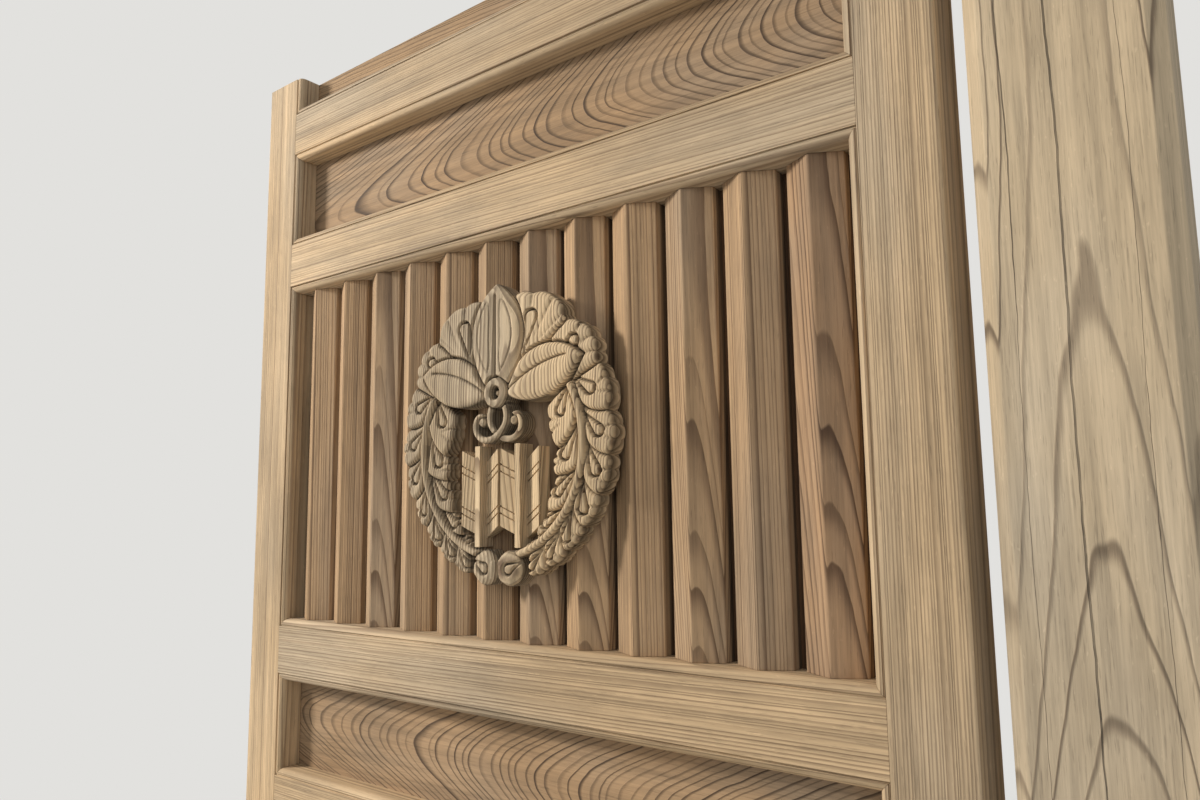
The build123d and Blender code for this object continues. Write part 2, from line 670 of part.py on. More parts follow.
def socket(mouth, direction):
    """A square iron cup that a pivot pin turns in."""
    bore = rod(PIN_RADIUS + PIN_CLEARANCE, (pivot_x, pivot_y, mouth), (0, 0, direction), PIN_SEAT)
    return socket_blank(mouth, direction) - bore


def block_spikes():
    """Iron spikes through the pivot blocks into the hinge post, two to a block."""
    spikes = []
    x = -half_post + SPIKE_INSET
    face = half_post + SPIKE_SEAT
    for middle in (LEAF_FOOT - BLOCK_GAP - BLOCK_HEIGHT / 2, leaf_top + BLOCK_GAP + BLOCK_HEIGHT / 2):
        for offset in (-SPIKE_SPREAD, SPIKE_SPREAD):
            shank = bolt(SPIKE_SIDE, x, half_post - SPIKE_BITE, face, middle + offset)
            head = bolt(SPIKE_HEAD_SIDE, x, face - SPIKE_HEAD, face, middle + offset)
            spikes.append(shank + head)
    return spikes


def group(shapes):
    """Separate like pieces as one compound."""
    return Compound(children=[solid for shape in shapes for solid in shape.solids()])


def build_frame():
    """Doorway frame: posts, beams, stops, pivot blocks, sockets and fasteners."""
    fasteners = stop_nails()
    spikes = block_spikes()
    hinge_post = post(0)
    for spike in spikes:
        hinge_post -= spike
    strike_post = post(strike_face - half_post)
    head = beam(head_floor, head_floor + HEAD_HEIGHT)
    sill = beam(0, SILL_HEIGHT)
    stops = doorstops()
    for fastener in fasteners:
        strike_post -= fastener
        head -= fastener
        sill -= fastener
        stops = {name: stop - fastener for name, stop in stops.items()}
    save("hinge_post", hinge_post)
    save("strike_post", strike_post)
    save("head_beam", head)
    save("sill", sill)
    for name, stop in stops.items():
        save(name, stop)
    save("frame_pegs", group(frame_pegs()))
    save("stop_nails", group(fasteners))
    save("block_spikes", group(spikes))
    low_mouth = LEAF_FOOT - BLOCK_GAP
    high_mouth = leaf_top + BLOCK_GAP
    save("lower_pivot_block", pivot_block(low_mouth - BLOCK_HEIGHT, low_mouth, -1))
    save("upper_pivot_block", pivot_block(high_mouth, high_mouth, 1))
    save("lower_socket", socket(low_mouth, -1))
    save("upper_socket", socket(high_mouth, 1))


def build_leaf():
    """Leaf: stiles, rails, panels, lattice, backing boards, crest and pivot pins."""
    save_leaf("free_stile", stile())
    save_leaf("hinge_stile", hinge_stile())
    for name, piece in rail_pieces().items():
        save_leaf(name, piece)
    save_leaf("top_panel", panel(strip_floor, leaf_top))
    save_leaf("upper_panel", panel(upper_floor, upper_ceiling + tongue))
    save_leaf("middle_panel", panel(middle_floor, middle_ceiling + tongue))
    save_leaf("lower_panel", panel(lower_floor, lower_ceiling + tongue))
    for index in range(BAR_COUNT):
        save_leaf(f"lattice_bar_{index + 1:02d}", lattice_bar(index))
    for index in range(BOARD_COUNT):
        save_leaf(f"backing_board_{index + 1}", backing_board(index))
    save_leaf("carved_wreath", carved_wreath())
    save_leaf("left_feather", feather(-1))
    save_leaf("right_feather", feather(1))
    save_leaf("crest_dowels", group([dowel for _, dowel in crest_dowels()]))
    lower, upper = pivot_pins()
    save_leaf("lower_pivot_pin", lower)
    save_leaf("upper_pivot_pin", upper)


build_frame()
build_leaf()
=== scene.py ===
import json
from math import atan2, cos, hypot, pi, radians, sin

import bmesh
import bpy
import numpy as np
from mathutils import Matrix, Vector

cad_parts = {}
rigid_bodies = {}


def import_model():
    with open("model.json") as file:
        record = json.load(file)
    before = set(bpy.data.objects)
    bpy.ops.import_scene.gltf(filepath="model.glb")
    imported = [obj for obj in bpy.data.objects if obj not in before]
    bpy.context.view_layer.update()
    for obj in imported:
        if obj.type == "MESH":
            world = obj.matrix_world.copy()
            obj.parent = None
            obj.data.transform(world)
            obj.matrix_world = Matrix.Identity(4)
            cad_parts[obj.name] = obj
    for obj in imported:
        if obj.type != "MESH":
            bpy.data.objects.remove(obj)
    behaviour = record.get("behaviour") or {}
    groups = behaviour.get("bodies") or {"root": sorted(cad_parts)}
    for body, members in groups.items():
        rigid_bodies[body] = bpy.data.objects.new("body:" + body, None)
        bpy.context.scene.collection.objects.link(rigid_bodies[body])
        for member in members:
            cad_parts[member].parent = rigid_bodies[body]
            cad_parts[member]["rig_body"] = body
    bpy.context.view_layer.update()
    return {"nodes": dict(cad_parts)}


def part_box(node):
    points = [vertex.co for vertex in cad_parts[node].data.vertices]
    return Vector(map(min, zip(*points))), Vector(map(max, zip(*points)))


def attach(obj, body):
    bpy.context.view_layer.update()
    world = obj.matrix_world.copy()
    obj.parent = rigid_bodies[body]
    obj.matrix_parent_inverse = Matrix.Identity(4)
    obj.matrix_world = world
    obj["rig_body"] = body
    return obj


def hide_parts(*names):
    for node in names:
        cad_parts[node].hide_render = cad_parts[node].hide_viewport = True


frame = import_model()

# The carved gate door, dressed. Metres, in the model's own frame: the leaf stands open at a right
# angle, its outer face looks along -X, and its free edge is at the +Y end.
MM = 0.001
NODES = frame["nodes"]
BODY = {name: node["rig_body"] for name, node in NODES.items()}

# Camera, as solved from the photograph's vanishing points
FRAME_WIDTH = 1200.0  # pixels
FOCAL_PIXELS = 872.4
SENSOR = 36.0
EYE = Vector((-0.9426, -0.1246, 1.461))
YAW = radians(37.63)
PITCH = radians(7.27)
ROLL = radians(0.72)

# Tones in sRGB: the light wood of a ring, its dark late wood, and the grey of weathered wood
LEAF_TONES = ((184, 158, 124), (98, 77, 57), (157, 148, 133))
PANEL_TONES = ((154, 126, 95), (58, 43, 32), (132, 120, 105))
BAR_TONES = ((172, 142, 108), (92, 69, 50), (146, 131, 113))
DARK_BAR_TONES = ((164, 131, 98), (80, 58, 42), (138, 119, 99))
CREST_TONES = ((202, 176, 139), (92, 70, 51), (172, 160, 141))
POST_TONES = ((176, 157, 129), (90, 75, 60), (161, 152, 138))
# The backing boards: their own unweathered brown, darkened with painted shade for the gaps they sit in
BOARD_TONES = ((98, 72, 50), (54, 38, 27), (84, 70, 56))
DOWEL_TONES = ((150, 120, 86), (104, 80, 56), (130, 118, 100))
IRON_TONE = (46, 43, 41)
BLOOM_TONE = (92, 62, 44)


def linear(colour):
    """An sRGB colour of 0 to 255 as linear RGBA."""
    channels = [c / 255 for c in colour]
    channels = [c / 12.92 if c <= 0.04045 else ((c + 0.055) / 1.055) ** 2.4 for c in channels]
    return (*channels, 1.0)


# Studio
BACKDROP = linear((226, 225, 222))
FLOOR = linear((216, 213, 207))
FLOOR_HALF = 30.0
FLOOR_FADE = (1.4, 4.6)  # the floor turns into the backdrop between these distances
SOFT_LIGHT = (0.93, 0.97, 1.0, 1.0)
SOFT_STRENGTH = 0.42
# Each lamp's place, the point that it looks at, its size, power and colour
LAMPS = {
    "key": ((-2.2, 3.6, 2.9), (-0.08, 0.65, 1.5), 0.7, 165.0, (1.0, 0.95, 0.87)),
    "fill": ((-3.2, -1.6, 2.4), (-0.08, 0.4, 1.3), 2.4, 36.0, (0.95, 0.97, 1.0)),
    "back": ((3.0, 2.6, 3.2), (0.0, 0.4, 1.3), 2.4, 70.0, (1.0, 0.98, 0.95)),
}

# Wood, unless a piece says otherwise
WOOD = dict(
    pith=(0.4, 0.1),  # the tree's centre, across and into the piece
    middle=1.0,  # the place along the piece from which taper, bow and tilt count
    spacing=0.0034,  # width of a growth ring
    taper=0.004,  # change of the rings' radius along the piece
    bow=0.0,  # its curvature, which closes arches and loops
    tilt=0.0,  # lean of the pith across the piece
    wander=0.006,  # size of the rings' waves
    warp=3.0,  # how many waves there are in a metre
    stretch=0.25,  # share of that number along the grain
    ragged=0.16,  # size of the small waves on the large ones
    uneven=1.6,  # how far the rings differ in width
    early=0.35,  # share of a ring before its late wood begins
    contrast=0.85,
    relief=0.0006,
    rough=0.78,
    cracks=(),
    # painted shade: a piece may darken towards its back, where the gaps between bars lie in shadow
    recess=None,  # depths between which the piece darkens towards its back
    seed=0.0,
)
SEED_STEP = (3.7, 1.9, 5.3)  # how far a seed of 1 shifts the waves
SMALL_WARP = 7  # number of small waves in a large one
UNEVEN_SCALE = 0.42  # how often the rings' width changes, per ring
LATE_FULL = 0.93  # share of a ring at which its late wood is darkest
LATE_END = 0.94  # and from which it breaks off
RING_STRENGTH = (0.35, 1.0)
# Noises: scale per metre, detail and roughness. A run is the scale's share along the grain.
FIBRE_NOISE = (420.0, 3.0, 0.62)
STREAK_NOISE = (75.0, 2.0, 0.55)
FIBRE_RUN = 0.03
PORE_NOISE = (900.0, 1.0)
PORE_RUN = 0.05
GRIME_NOISE = (9.0, 4.0, 0.62)
GRIME_RUN = 0.35
SPECK_NOISE = (260.0, 2.0, 0.6)
GREY_NOISE = (3.0, 0.6)
GREY_WARP = 1.3  # its scale, as a share of the rings' warp
# Ranges of these noises; two more values are the shade or the change of roughness at the ends
GREY_RANGE = (0.38, 0.66)
PORE_RANGE = (0.62, 0.72)
SPECK_RANGE = (0.66, 0.74)
STREAK_SHADE = (0.25, 0.75, 0.82, 1.12)
FIBRE_SHADE = (0.25, 0.75, -0.14, 0.10)
GRIME_SHADE = (0.3, 0.62, 0.8, 1.04)
FIBRE_ROUGH = (0.2, 0.8, 0.08, 0.1)
GREY_SHARE = 0.55
PORE_SHADE = 0.2
SPECK_SHADE = 0.14
EDGE_SHADE = 1.14
# Painted shade: brightness left in the deepest hollows of the crest
PAINTED_SHADE_IN_HOLLOWS = 0.3
# Painted shade at the back of the gaps between the bars
GAP_SHADE_LEVEL = 0.32
RING_HEIGHT = 0.6
FIBRE_HEIGHT = 0.5
CRACK_SHADE = 0.62
CRACK_HEIGHT = 1.5
CRACK_WANDER = (3.1, 0.012)  # waves per metre and their size
CRACK_KINK = (34.0, 0.0016)
CRACK_TAPER = 0.55  # share of a crack's half length that has its full width
CRACK_EDGE = (-0.0001, 0.0003)
# Iron
HAMMER_NOISE = (130.0, 2.0)
PIT_NOISE = (700.0, 2.0)
PIT_HEIGHT = 0.2
BLOOM_NOISE = (60.0, 5.0, 0.7)
BLOOM_RANGE = (0.45, 0.62)
IRON_ROUGH = (0.45, 0.85)
IRON_RELIEF = 0.0006


class Shader:
    """Short calls that add nodes to a material; a value may be a number or another node's output."""

    def __init__(self, name):
        self.material = bpy.data.materials.new(name)
        self.material.use_nodes = True
        self.tree = self.material.node_tree
        self.tree.nodes.clear()
        self.output = self.add("ShaderNodeOutputMaterial")

    def add(self, kind, **settings):
        node = self.tree.nodes.new(kind)
        for key, value in settings.items():
            setattr(node, key, value)
        return node

    def plug(self, socket, value):
        if isinstance(value, bpy.types.NodeSocket):
            self.tree.links.new(value, socket)
        else:
            socket.default_value = value

    def feed(self, node, *values, **named):
        """Give a node's sockets their values, in order and by name, and return its first output."""
        for socket, value in zip(node.inputs, values):
            self.plug(socket, value)
        for name, value in named.items():
            self.plug(node.inputs[name], value)
        return node.outputs[0]

    def math(self, operation, *values):
        return self.feed(self.add("ShaderNodeMath", operation=operation), *values)

    def plus(self, first, second):
        return self.math("ADD", first, second)

    def minus(self, first, second):
        return self.math("SUBTRACT", first, second)

    def times(self, first, second):
        return self.math("MULTIPLY", first, second)

    def sway(self, noise, size):
        """A noise of 0 to 1 as a shift to both sides of zero."""
        return self.times(self.minus(noise, 0.5), size)

    def length(self, x, y):
        """Length of a plane vector."""
        return self.math("SQRT", self.plus(self.times(x, x), self.times(y, y)))

    def vector(self, x, y, z):
        return self.feed(self.add("ShaderNodeCombineXYZ"), x, y, z)

    def noise(self, vector, scale, detail=2.0, rough=0.5):
        node = self.add("ShaderNodeTexNoise")
        return self.feed(node, Vector=vector, Scale=scale, Detail=detail, Roughness=rough)

    def line_noise(self, value, scale):
        node = self.add("ShaderNodeTexNoise", noise_dimensions="1D")
        return self.feed(node, W=value, Scale=scale, Detail=1.0)

    def random(self, value):
        return self.feed(self.add("ShaderNodeTexWhiteNoise", noise_dimensions="1D"), W=value)

    def ramp(self, value, low, high, to_low=0.0, to_high=1.0, smooth=True):
        node = self.add("ShaderNodeMapRange", interpolation_type="SMOOTHSTEP" if smooth else "LINEAR")
        return self.feed(node, value, low, high, to_low, to_high)

    def mix(self, factor, first, second, blend="MIX"):
        node = self.add("ShaderNodeMix", data_type="RGBA", blend_type=blend)
        for number, value in ((0, factor), (6, first), (7, second)):  # its colour sockets
            self.plug(node.inputs[number], value)
        return node.outputs[2]

    def attribute(self, name):
        return self.add("ShaderNodeAttribute", attribute_name=name).outputs["Fac"]

    def place(self):
        """The point's X, Y and Z in the model's frame, in metres, carried along when a body moves."""
        node = self.add("ShaderNodeSeparateXYZ")
        coordinates = self.add("ShaderNodeTexCoord")
        self.plug(node.inputs[0], coordinates.outputs["Object"])
        return dict(zip("XYZ", node.outputs))

    def finish(self, colour, roughness, height, depth, specular=0.3, metallic=0.0):
        bump = self.feed(self.add("ShaderNodeBump"), Height=height, Distance=depth)
        named = {"Base Color": colour, "Specular IOR Level": specular}
        shader = self.add("ShaderNodeBsdfPrincipled")
        face = self.feed(shader, Roughness=roughness, Metallic=metallic, Normal=bump, **named)
        self.plug(self.output.inputs[0], face)
        return self.material


def along_grain(s, across, depth, along, share):
    """A place for a noise that is drawn out along the grain."""
    return s.vector(across, depth, s.times(along, share))


def rings(s, across, depth, along, spec):
    """Growth rings cut by the surface: darkness of the late wood, the ring's own random tone, and the
    shifted place that carries the waves."""
    moved = s.add("ShaderNodeVectorMath", operation="ADD")
    s.plug(moved.inputs[0], along_grain(s, across, depth, along, spec["stretch"]))
    s.plug(moved.inputs[1], s.vector(*(spec["seed"] * step for step in SEED_STEP)))
    place = moved.outputs[0]
    broad = s.sway(s.noise(place, spec["warp"], 1.0), spec["wander"])
    small = s.sway(s.noise(place, spec["warp"] * SMALL_WARP, 2.0), spec["wander"] * spec["ragged"])
    run = s.minus(along, spec["middle"])
    beside = s.minus(across, spec["pith"][0])
    beside = s.minus(beside, s.times(run, spec["tilt"]))
    radius = s.length(beside, s.minus(depth, spec["pith"][1]))
    lean = s.times(run, spec["taper"])
    bow = s.times(s.times(run, run), spec["bow"])
    radius = s.plus(radius, s.minus(lean, bow))
    radius = s.plus(radius, s.plus(broad, small))
    count = s.math("DIVIDE", radius, spec["spacing"])
    uneven = s.times(s.line_noise(count, UNEVEN_SCALE), spec["uneven"])
    count = s.plus(count, uneven)
    share = s.math("FRACT", count)
    darkening = s.ramp(share, spec["early"], LATE_FULL)
    late = s.times(darkening, s.ramp(share, LATE_END, 1.0, 1.0, 0.0))
    return late, s.random(s.math("FLOOR", count)), place


def timber(name, axes, tones, **changes):
    """Weathered wood: rings about a pith, fibres, pores, greying, worn edges and painted shade.
    axes gives the letters of the directions across, into and along the wood."""
    spec = {**WOOD, **changes}
    light, dark, grey = [linear(tone) for tone in tones]
    s = Shader(name)
    xyz = s.place()
    across, depth, along = [xyz[letter] for letter in axes]
    late, tone, place = rings(s, across, depth, along, spec)
    fibre_place = along_grain(s, across, depth, along, FIBRE_RUN)
    fibres = s.noise(fibre_place, *FIBRE_NOISE)
    streaks = s.noise(fibre_place, *STREAK_NOISE)
    pores = s.noise(along_grain(s, across, depth, along, PORE_RUN), *PORE_NOISE)
    grime = s.noise(along_grain(s, across, depth, along, GRIME_RUN), *GRIME_NOISE)
    specks = s.ramp(s.noise(place, *SPECK_NOISE), *SPECK_RANGE)
    greying = s.ramp(s.noise(place, spec["warp"] * GREY_WARP, *GREY_NOISE), *GREY_RANGE)

    strength = s.times(s.ramp(tone, 0.0, 1.0, *RING_STRENGTH, smooth=False), spec["contrast"])
    colour = s.mix(s.times(greying, GREY_SHARE), light, grey)
    colour = s.mix(s.times(late, strength), colour, dark)
    shade = s.plus(s.ramp(streaks, *STREAK_SHADE), s.ramp(fibres, *FIBRE_SHADE))
    shade = s.minus(shade, s.times(s.ramp(pores, *PORE_RANGE), PORE_SHADE))
    shade = s.times(shade, s.ramp(grime, *GRIME_SHADE))
    shade = s.plus(shade, s.times(specks, SPECK_SHADE))
    height = s.plus(s.times(late, RING_HEIGHT), s.times(fibres, FIBRE_HEIGHT))
    for crack in spec["cracks"]:
        mask = crack_mask(s, across, along, *crack)
        shade = s.minus(shade, s.times(mask, CRACK_SHADE))
        height = s.minus(height, s.times(mask, CRACK_HEIGHT))
    # Worn edges are lighter, and the crest's hollows are darkened with painted shade
    for layer, brightness in (("edge", EDGE_SHADE), ("hollow_shade", PAINTED_SHADE_IN_HOLLOWS)):
        factor = s.ramp(s.attribute(layer), 0.0, 1.0, 1.0, brightness, smooth=False)
        shade = s.times(shade, factor)
    # Painted shade: the piece darkens towards its back, where the gaps lie in shadow
    if spec["recess"]:
        shade = s.times(shade, s.ramp(depth, *spec["recess"], 1.0, GAP_SHADE_LEVEL))
    colour = s.mix(1.0, colour, s.vector(shade, shade, shade), "MULTIPLY")

    low, high, less, more = FIBRE_ROUGH
    roughness = s.ramp(fibres, low, high, spec["rough"] - less, spec["rough"] + more, smooth=False)
    return s.finish(colour, roughness, height, spec["relief"])


def crack_mask(s, across, along, place, low, high, width):
    """A drying crack that runs with the grain and closes at both ends."""
    waves = [s.sway(s.line_noise(along, scale), size) for scale, size in (CRACK_WANDER, CRACK_KINK)]
    line = s.plus(s.plus(*waves), place)
    away = s.math("ABSOLUTE", s.minus(across, line))
    from_middle = s.math("ABSOLUTE", s.minus(along, (high + low) / 2))
    share = s.math("DIVIDE", from_middle, (high - low) / 2)
    half = s.times(s.ramp(share, 1.0, CRACK_TAPER), width / 2)
    return s.ramp(s.minus(away, half), *CRACK_EDGE, 1.0, 0.0)


def iron(name):
    """Dark forged iron with a dry brown bloom."""
    s = Shader(name)
    xyz = s.place()
    place = s.vector(xyz["X"], xyz["Y"], xyz["Z"])
    bloom = s.ramp(s.noise(place, *BLOOM_NOISE), *BLOOM_RANGE)
    colour = s.mix(bloom, linear(IRON_TONE), linear(BLOOM_TONE))
    roughness = s.ramp(bloom, 0.0, 1.0, *IRON_ROUGH)
    pits = s.times(s.noise(place, *PIT_NOISE), PIT_HEIGHT)
    height = s.plus(s.noise(place, *HAMMER_NOISE), pits)
    return s.finish(colour, roughness, height, IRON_RELIEF, specular=0.5, metallic=0.7)


def paint(node, material):
    """Give one object a single material."""
    node.data.materials.clear()
    node.data.materials.append(material)


def new_object(name, data):
    """An object for a new mesh, lamp or camera, in the scene."""
    item = bpy.data.objects.new(name, data)
    bpy.context.scene.collection.objects.link(item)
    return item


# Worn edges
ARRIS = 0.0011
FEATHER_ARRIS = 0.0005
MERGE = 1e-6
SAME_FACE = radians(0.4)  # facets that meet at less than this are one face
SHARP = radians(28)  # an edge that turns more than this is eased


def worn_copy(name, arris):
    """A copy of a CAD node with eased edges, which are marked for the material, in the node's place."""
    source = NODES[name]
    build = bmesh.new()
    build.from_mesh(source.data)
    layer = build.verts.layers.float.new("edge")
    bmesh.ops.remove_doubles(build, verts=build.verts, dist=MERGE)
    bmesh.ops.dissolve_limit(build, angle_limit=SAME_FACE, verts=build.verts, edges=build.edges)
    sharp = [e for e in build.edges if len(e.link_faces) == 2 and e.calc_face_angle(0) > SHARP]
    made = bmesh.ops.bevel(
        build, geom=sharp, offset=arris, segments=2, profile=0.5, affect="EDGES", clamp_overlap=True,
    )
    for vertex in made["verts"]:
        vertex[layer] = 1.0
    bmesh.ops.dissolve_degenerate(build, dist=MERGE, edges=build.edges)
    mesh = bpy.data.meshes.new(name + "_worn")
    build.to_mesh(mesh)
    build.free()
    item = new_object(name + "_worn", mesh)
    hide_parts(name)
    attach(item, BODY[name])
    return item


SLOTS = {
    "leaf_wood": ("stile", "rail"),
    "panel_wood": ("panel",),
    "lattice_wood": ("lattice_bar", "backing_board"),
    "crest_wood": ("carved_wreath", "feather", "crest_dowels"),
}


def slot_of(name):
    """The record's finish for a node, by its name."""
    if name == "lattice_rail":
        return "leaf_wood"
    for slot, words in SLOTS.items():
        if BODY[name] == "leaf" and any(word in name for word in words):
            return slot
    if any(word in name for word in ("nail", "spike", "socket", "pin")):
        return "iron"
    return "frame_wood"


# Bars, boards and post. Two depths in the leaf bound the painted shade that darkens the bars towards
# their backs in the gaps between them; a crack is its place across the post, its lowest and highest
# points and its width.
BARS = 12
BOARDS = 5
GAP_SHADE_DEPTHS = (-0.0450, -0.0395)
POST_CRACKS = ((0.010, 1.05, 2.50, 0.0016), (-0.046, 0.35, 1.02, 0.0010), (0.052, 1.62, 2.12, 0.0008))
LOOPED_BARS = (3, 7, 8, 10)
DARK_BAR = 12
LOOP_PITH = (0.026, -0.012)  # from the middle of the bar, for loops on its right slope


def leaf_timber():
    """Stiles, rails and panels of the leaf."""
    lines = dict(spacing=0.0033, wander=0.007, contrast=0.68)
    wide = dict(spacing=0.0040, wander=0.012, contrast=0.68, taper=0.012)
    straight = {  # axes, pith, seed and figure of each
        "hinge_stile": ("YXZ", (-0.42, 0.05), 1, lines),
        "free_stile": ("YXZ", (1.75, 0.1), 2, lines),
        "bottom_rail": ("ZXY", (-0.35, 0.1), 3, lines),
        "waist_rail": ("ZXY", (0.4, 0.12), 4, lines),
        "upper_rail": ("ZXY", (2.42, 0.12), 7, lines),
        "lattice_rail": ("ZXY", (0.95, 0.08), 5, wide),
        "frieze_rail": ("ZXY", (2.25, 0.1), 6, wide),
    }
    woods = {
        name: timber(name + "_wood", axes, LEAF_TONES, pith=pith, seed=seed, **figure)
        for name, (axes, pith, seed, figure) in straight.items()
    }
    loops = dict(wander=0.03, warp=3.4, stretch=0.5, contrast=1.0, early=0.6, relief=0.0009, middle=0.7)
    panels = {
        "upper_panel": dict(pith=(2.01, 0.005), spacing=0.0072, taper=0.30, bow=0.2, tilt=-0.06),
        "middle_panel": dict(pith=(1.115, 0.005), spacing=0.0062, taper=0.34, bow=0.12, tilt=0.03),
        "lower_panel": dict(pith=(0.62, 0.04), spacing=0.008, taper=0.16),
        "top_panel": dict(pith=(2.4, 0.02), spacing=0.005, taper=0.05),
    }
    for seed, (name, figure) in enumerate(panels.items(), 11):
        woods[name] = timber(name + "_wood", "ZXY", PANEL_TONES, seed=seed, **figure, **loops)
    return woods


def bar_timber(number):
    """One lattice bar: most are straight grained, and a few were sawn near the pith and show loops."""
    name = f"lattice_bar_{number:02d}"
    low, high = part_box(name)
    middle = (low.y + high.y) / 2
    loop_pith = (middle + LOOP_PITH[0], LOOP_PITH[1])
    tones = BAR_TONES
    if number == DARK_BAR:
        tones = DARK_BAR_TONES
        figure = dict(pith=loop_pith, spacing=0.0052, taper=0.052, wander=0.010, warp=6.0)
        figure.update(stretch=0.35, contrast=0.95, early=0.45, middle=1.3, bow=0.02)
    elif number in LOOPED_BARS:
        figure = dict(pith=loop_pith, spacing=0.0036, taper=0.0, wander=0.006, warp=5.0)
        figure.update(stretch=0.3, contrast=0.85, middle=1.86, bow=0.05)
    else:
        side = 0.3 if number % 2 else -0.25
        figure = dict(pith=(middle + side, 0.08), spacing=0.0029, wander=0.008, contrast=0.9)
    return timber(name + "_wood", "YXZ", tones, recess=GAP_SHADE_DEPTHS, seed=20 + number, **figure)


def frame_timber():
    """Posts, beams, stops, blocks and pegs."""
    arches = dict(wander=0.026, early=0.8, relief=0.0008, uneven=1.2, stretch=0.35, ragged=0.3)
    hinge = dict(arches, pith=(-0.004, 0.012), spacing=0.0095, taper=0.060, bow=0.055, middle=1.45)
    hinge.update(wander=0.019, uneven=1.7, contrast=0.95, cracks=POST_CRACKS)
    arches.update(spacing=0.011, contrast=0.72)
    strike = dict(arches, pith=(0.05, -1.20), taper=0.05, middle=1.1, bow=0.03)
    head = dict(arches, pith=(2.25, 0.03), taper=0.05)
    sill = dict(arches, pith=(0.05, 0.03), taper=0.06)
    plain = dict(spacing=0.003, contrast=0.8)
    beams = {  # name of the wood, axes, tones, seed and figure
        "hinge_post": ("hinge_post_wood", "YXZ", POST_TONES, 41, hinge),
        "strike_post": ("strike_post_wood", "YXZ", POST_TONES, 42, strike),
        "head_beam": ("head_beam_wood", "ZYX", POST_TONES, 43, head),
        "sill": ("sill_wood", "ZYX", POST_TONES, 44, sill),
        "head_stop": ("head_stop_wood", "ZYX", LEAF_TONES, 45, plain),
        "sill_stop": ("sill_stop_wood", "ZYX", LEAF_TONES, 46, plain),
        "strike_stop": ("strike_stop_wood", "YXZ", LEAF_TONES, 47, plain),
        "lower_pivot_block": ("lower_block_wood", "YZX", POST_TONES, 48, plain),
        "upper_pivot_block": ("upper_block_wood", "YZX", POST_TONES, 49, plain),
        "frame_pegs": ("peg_wood", "XZY", DOWEL_TONES, 50, dict(spacing=0.0024)),
    }
    return {
        node: timber(name, axes, tones, seed=seed, **figure)
        for node, (name, axes, tones, seed, figure) in beams.items()
    }


def dress_wood():
    """Every wooden node of the leaf and the frame, apart from the crest."""
    woods = leaf_timber()
    woods.update(frame_timber())
    for number in range(1, BARS + 1):
        woods[f"lattice_bar_{number:02d}"] = bar_timber(number)
    for number in range(1, BOARDS + 1):
        woods[f"backing_board_{number}"] = timber(
            f"board_{number}_wood", "YXZ", BOARD_TONES, seed=60 + number, spacing=0.004
        )
    for name, wood in woods.items():
        if name == "frame_pegs":
            paint(NODES[name], wood)
            continue
        item = worn_copy(name, ARRIS)
        paint(item, wood)
        slot_of(name)


def dress_iron():
    """Sockets, pins, nails and spikes."""
    metal = iron("forged_iron")
    for name in NODES:
        if slot_of(name) == "iron":
            paint(NODES[name], metal)


# Crest, in millimetres from its centre: u towards the hinge, v up, w out of the leaf's face.
# The stems, leaflets and their drops are given by angles and radii about the stems' common centre.
# An edge is a round fall towards an outline, by its reach and its drop. A crease is a hollow along a
# line, by its half width and its depth. A moat is cut into the wood round a form, by reach and depth.
CREST_ORIGIN = Vector((-0.073, 0.702, 1.569))
CREST_REACH = 212.0  # half the side of the square that the wreath lies in
SPRAY_CENTRE = -20.0
NO_MOAT = (3.0, 0.0)
MOAT_FLOOR = 8.0  # no moat goes below this height
SHAPE_REACH = 8.0  # how far round its outline a form changes the field
OVERLAP = 0.9  # how far a form grows over ground where there is no other
STEM_RADIUS = 147.0
STEM_HALF = 5.4
STEM_TOP = 30.0
STEM_SPAN = (36.0, -80.0)
STEM_MOAT = (2.2, 2.5)
BAND_DROP = 1.1  # a band's fall to its edges, as a share of its half width
SEAM_START = 1.0  # how far inside the stem a seam between leaflets starts
FIRST_LEAD = 5.0  # degrees between the start of the first seam and its notch
LEAD = 0.55  # and of the others, as a share of the step between two notches
OUTER_BEND = (0.1, 2.0)  # a seam's bend: share of its lead, and how far it lies beyond the stem
INNER_BEND = (0.45, 3.0)  # or beyond the middle between stem and notch
LEAFLET_TOP = 28.0
LEAFLET_LEAN = 5.0
LEAFLET_EDGE = (6.5, 7.5)
LEAFLET_CREASE = (3.4, 3.0)
LEAFLET_FAN = 0.25  # start of the creases between the leaflet's middle and its cusps
PETALS = 3
SCALLOP = 2.8
CUSP = 3.0
OUTER_NOTCHES = (
    (29.5, 196.0), (11.2, 187.0), (-6.0, 185.0), (-22.0, 181.0),
    (-36.5, 179.0), (-49.5, 178.0), (-61.0, 177.0), (-71.5, 176.0),
)
OUTER_CROWNS = (200.0, 196.0, 191.0, 187.0, 185.0, 184.0, 183.0)
INNER_NOTCHES = (
    (30.0, 100.0), (-3.8, 107.0), (-22.0, 112.0),
    (-44.0, 125.0), (-59.0, 138.0), (-70.0, 144.0),
)
INNER_CROWNS = (92.0, 99.0, 110.0, 124.0, 136.0)
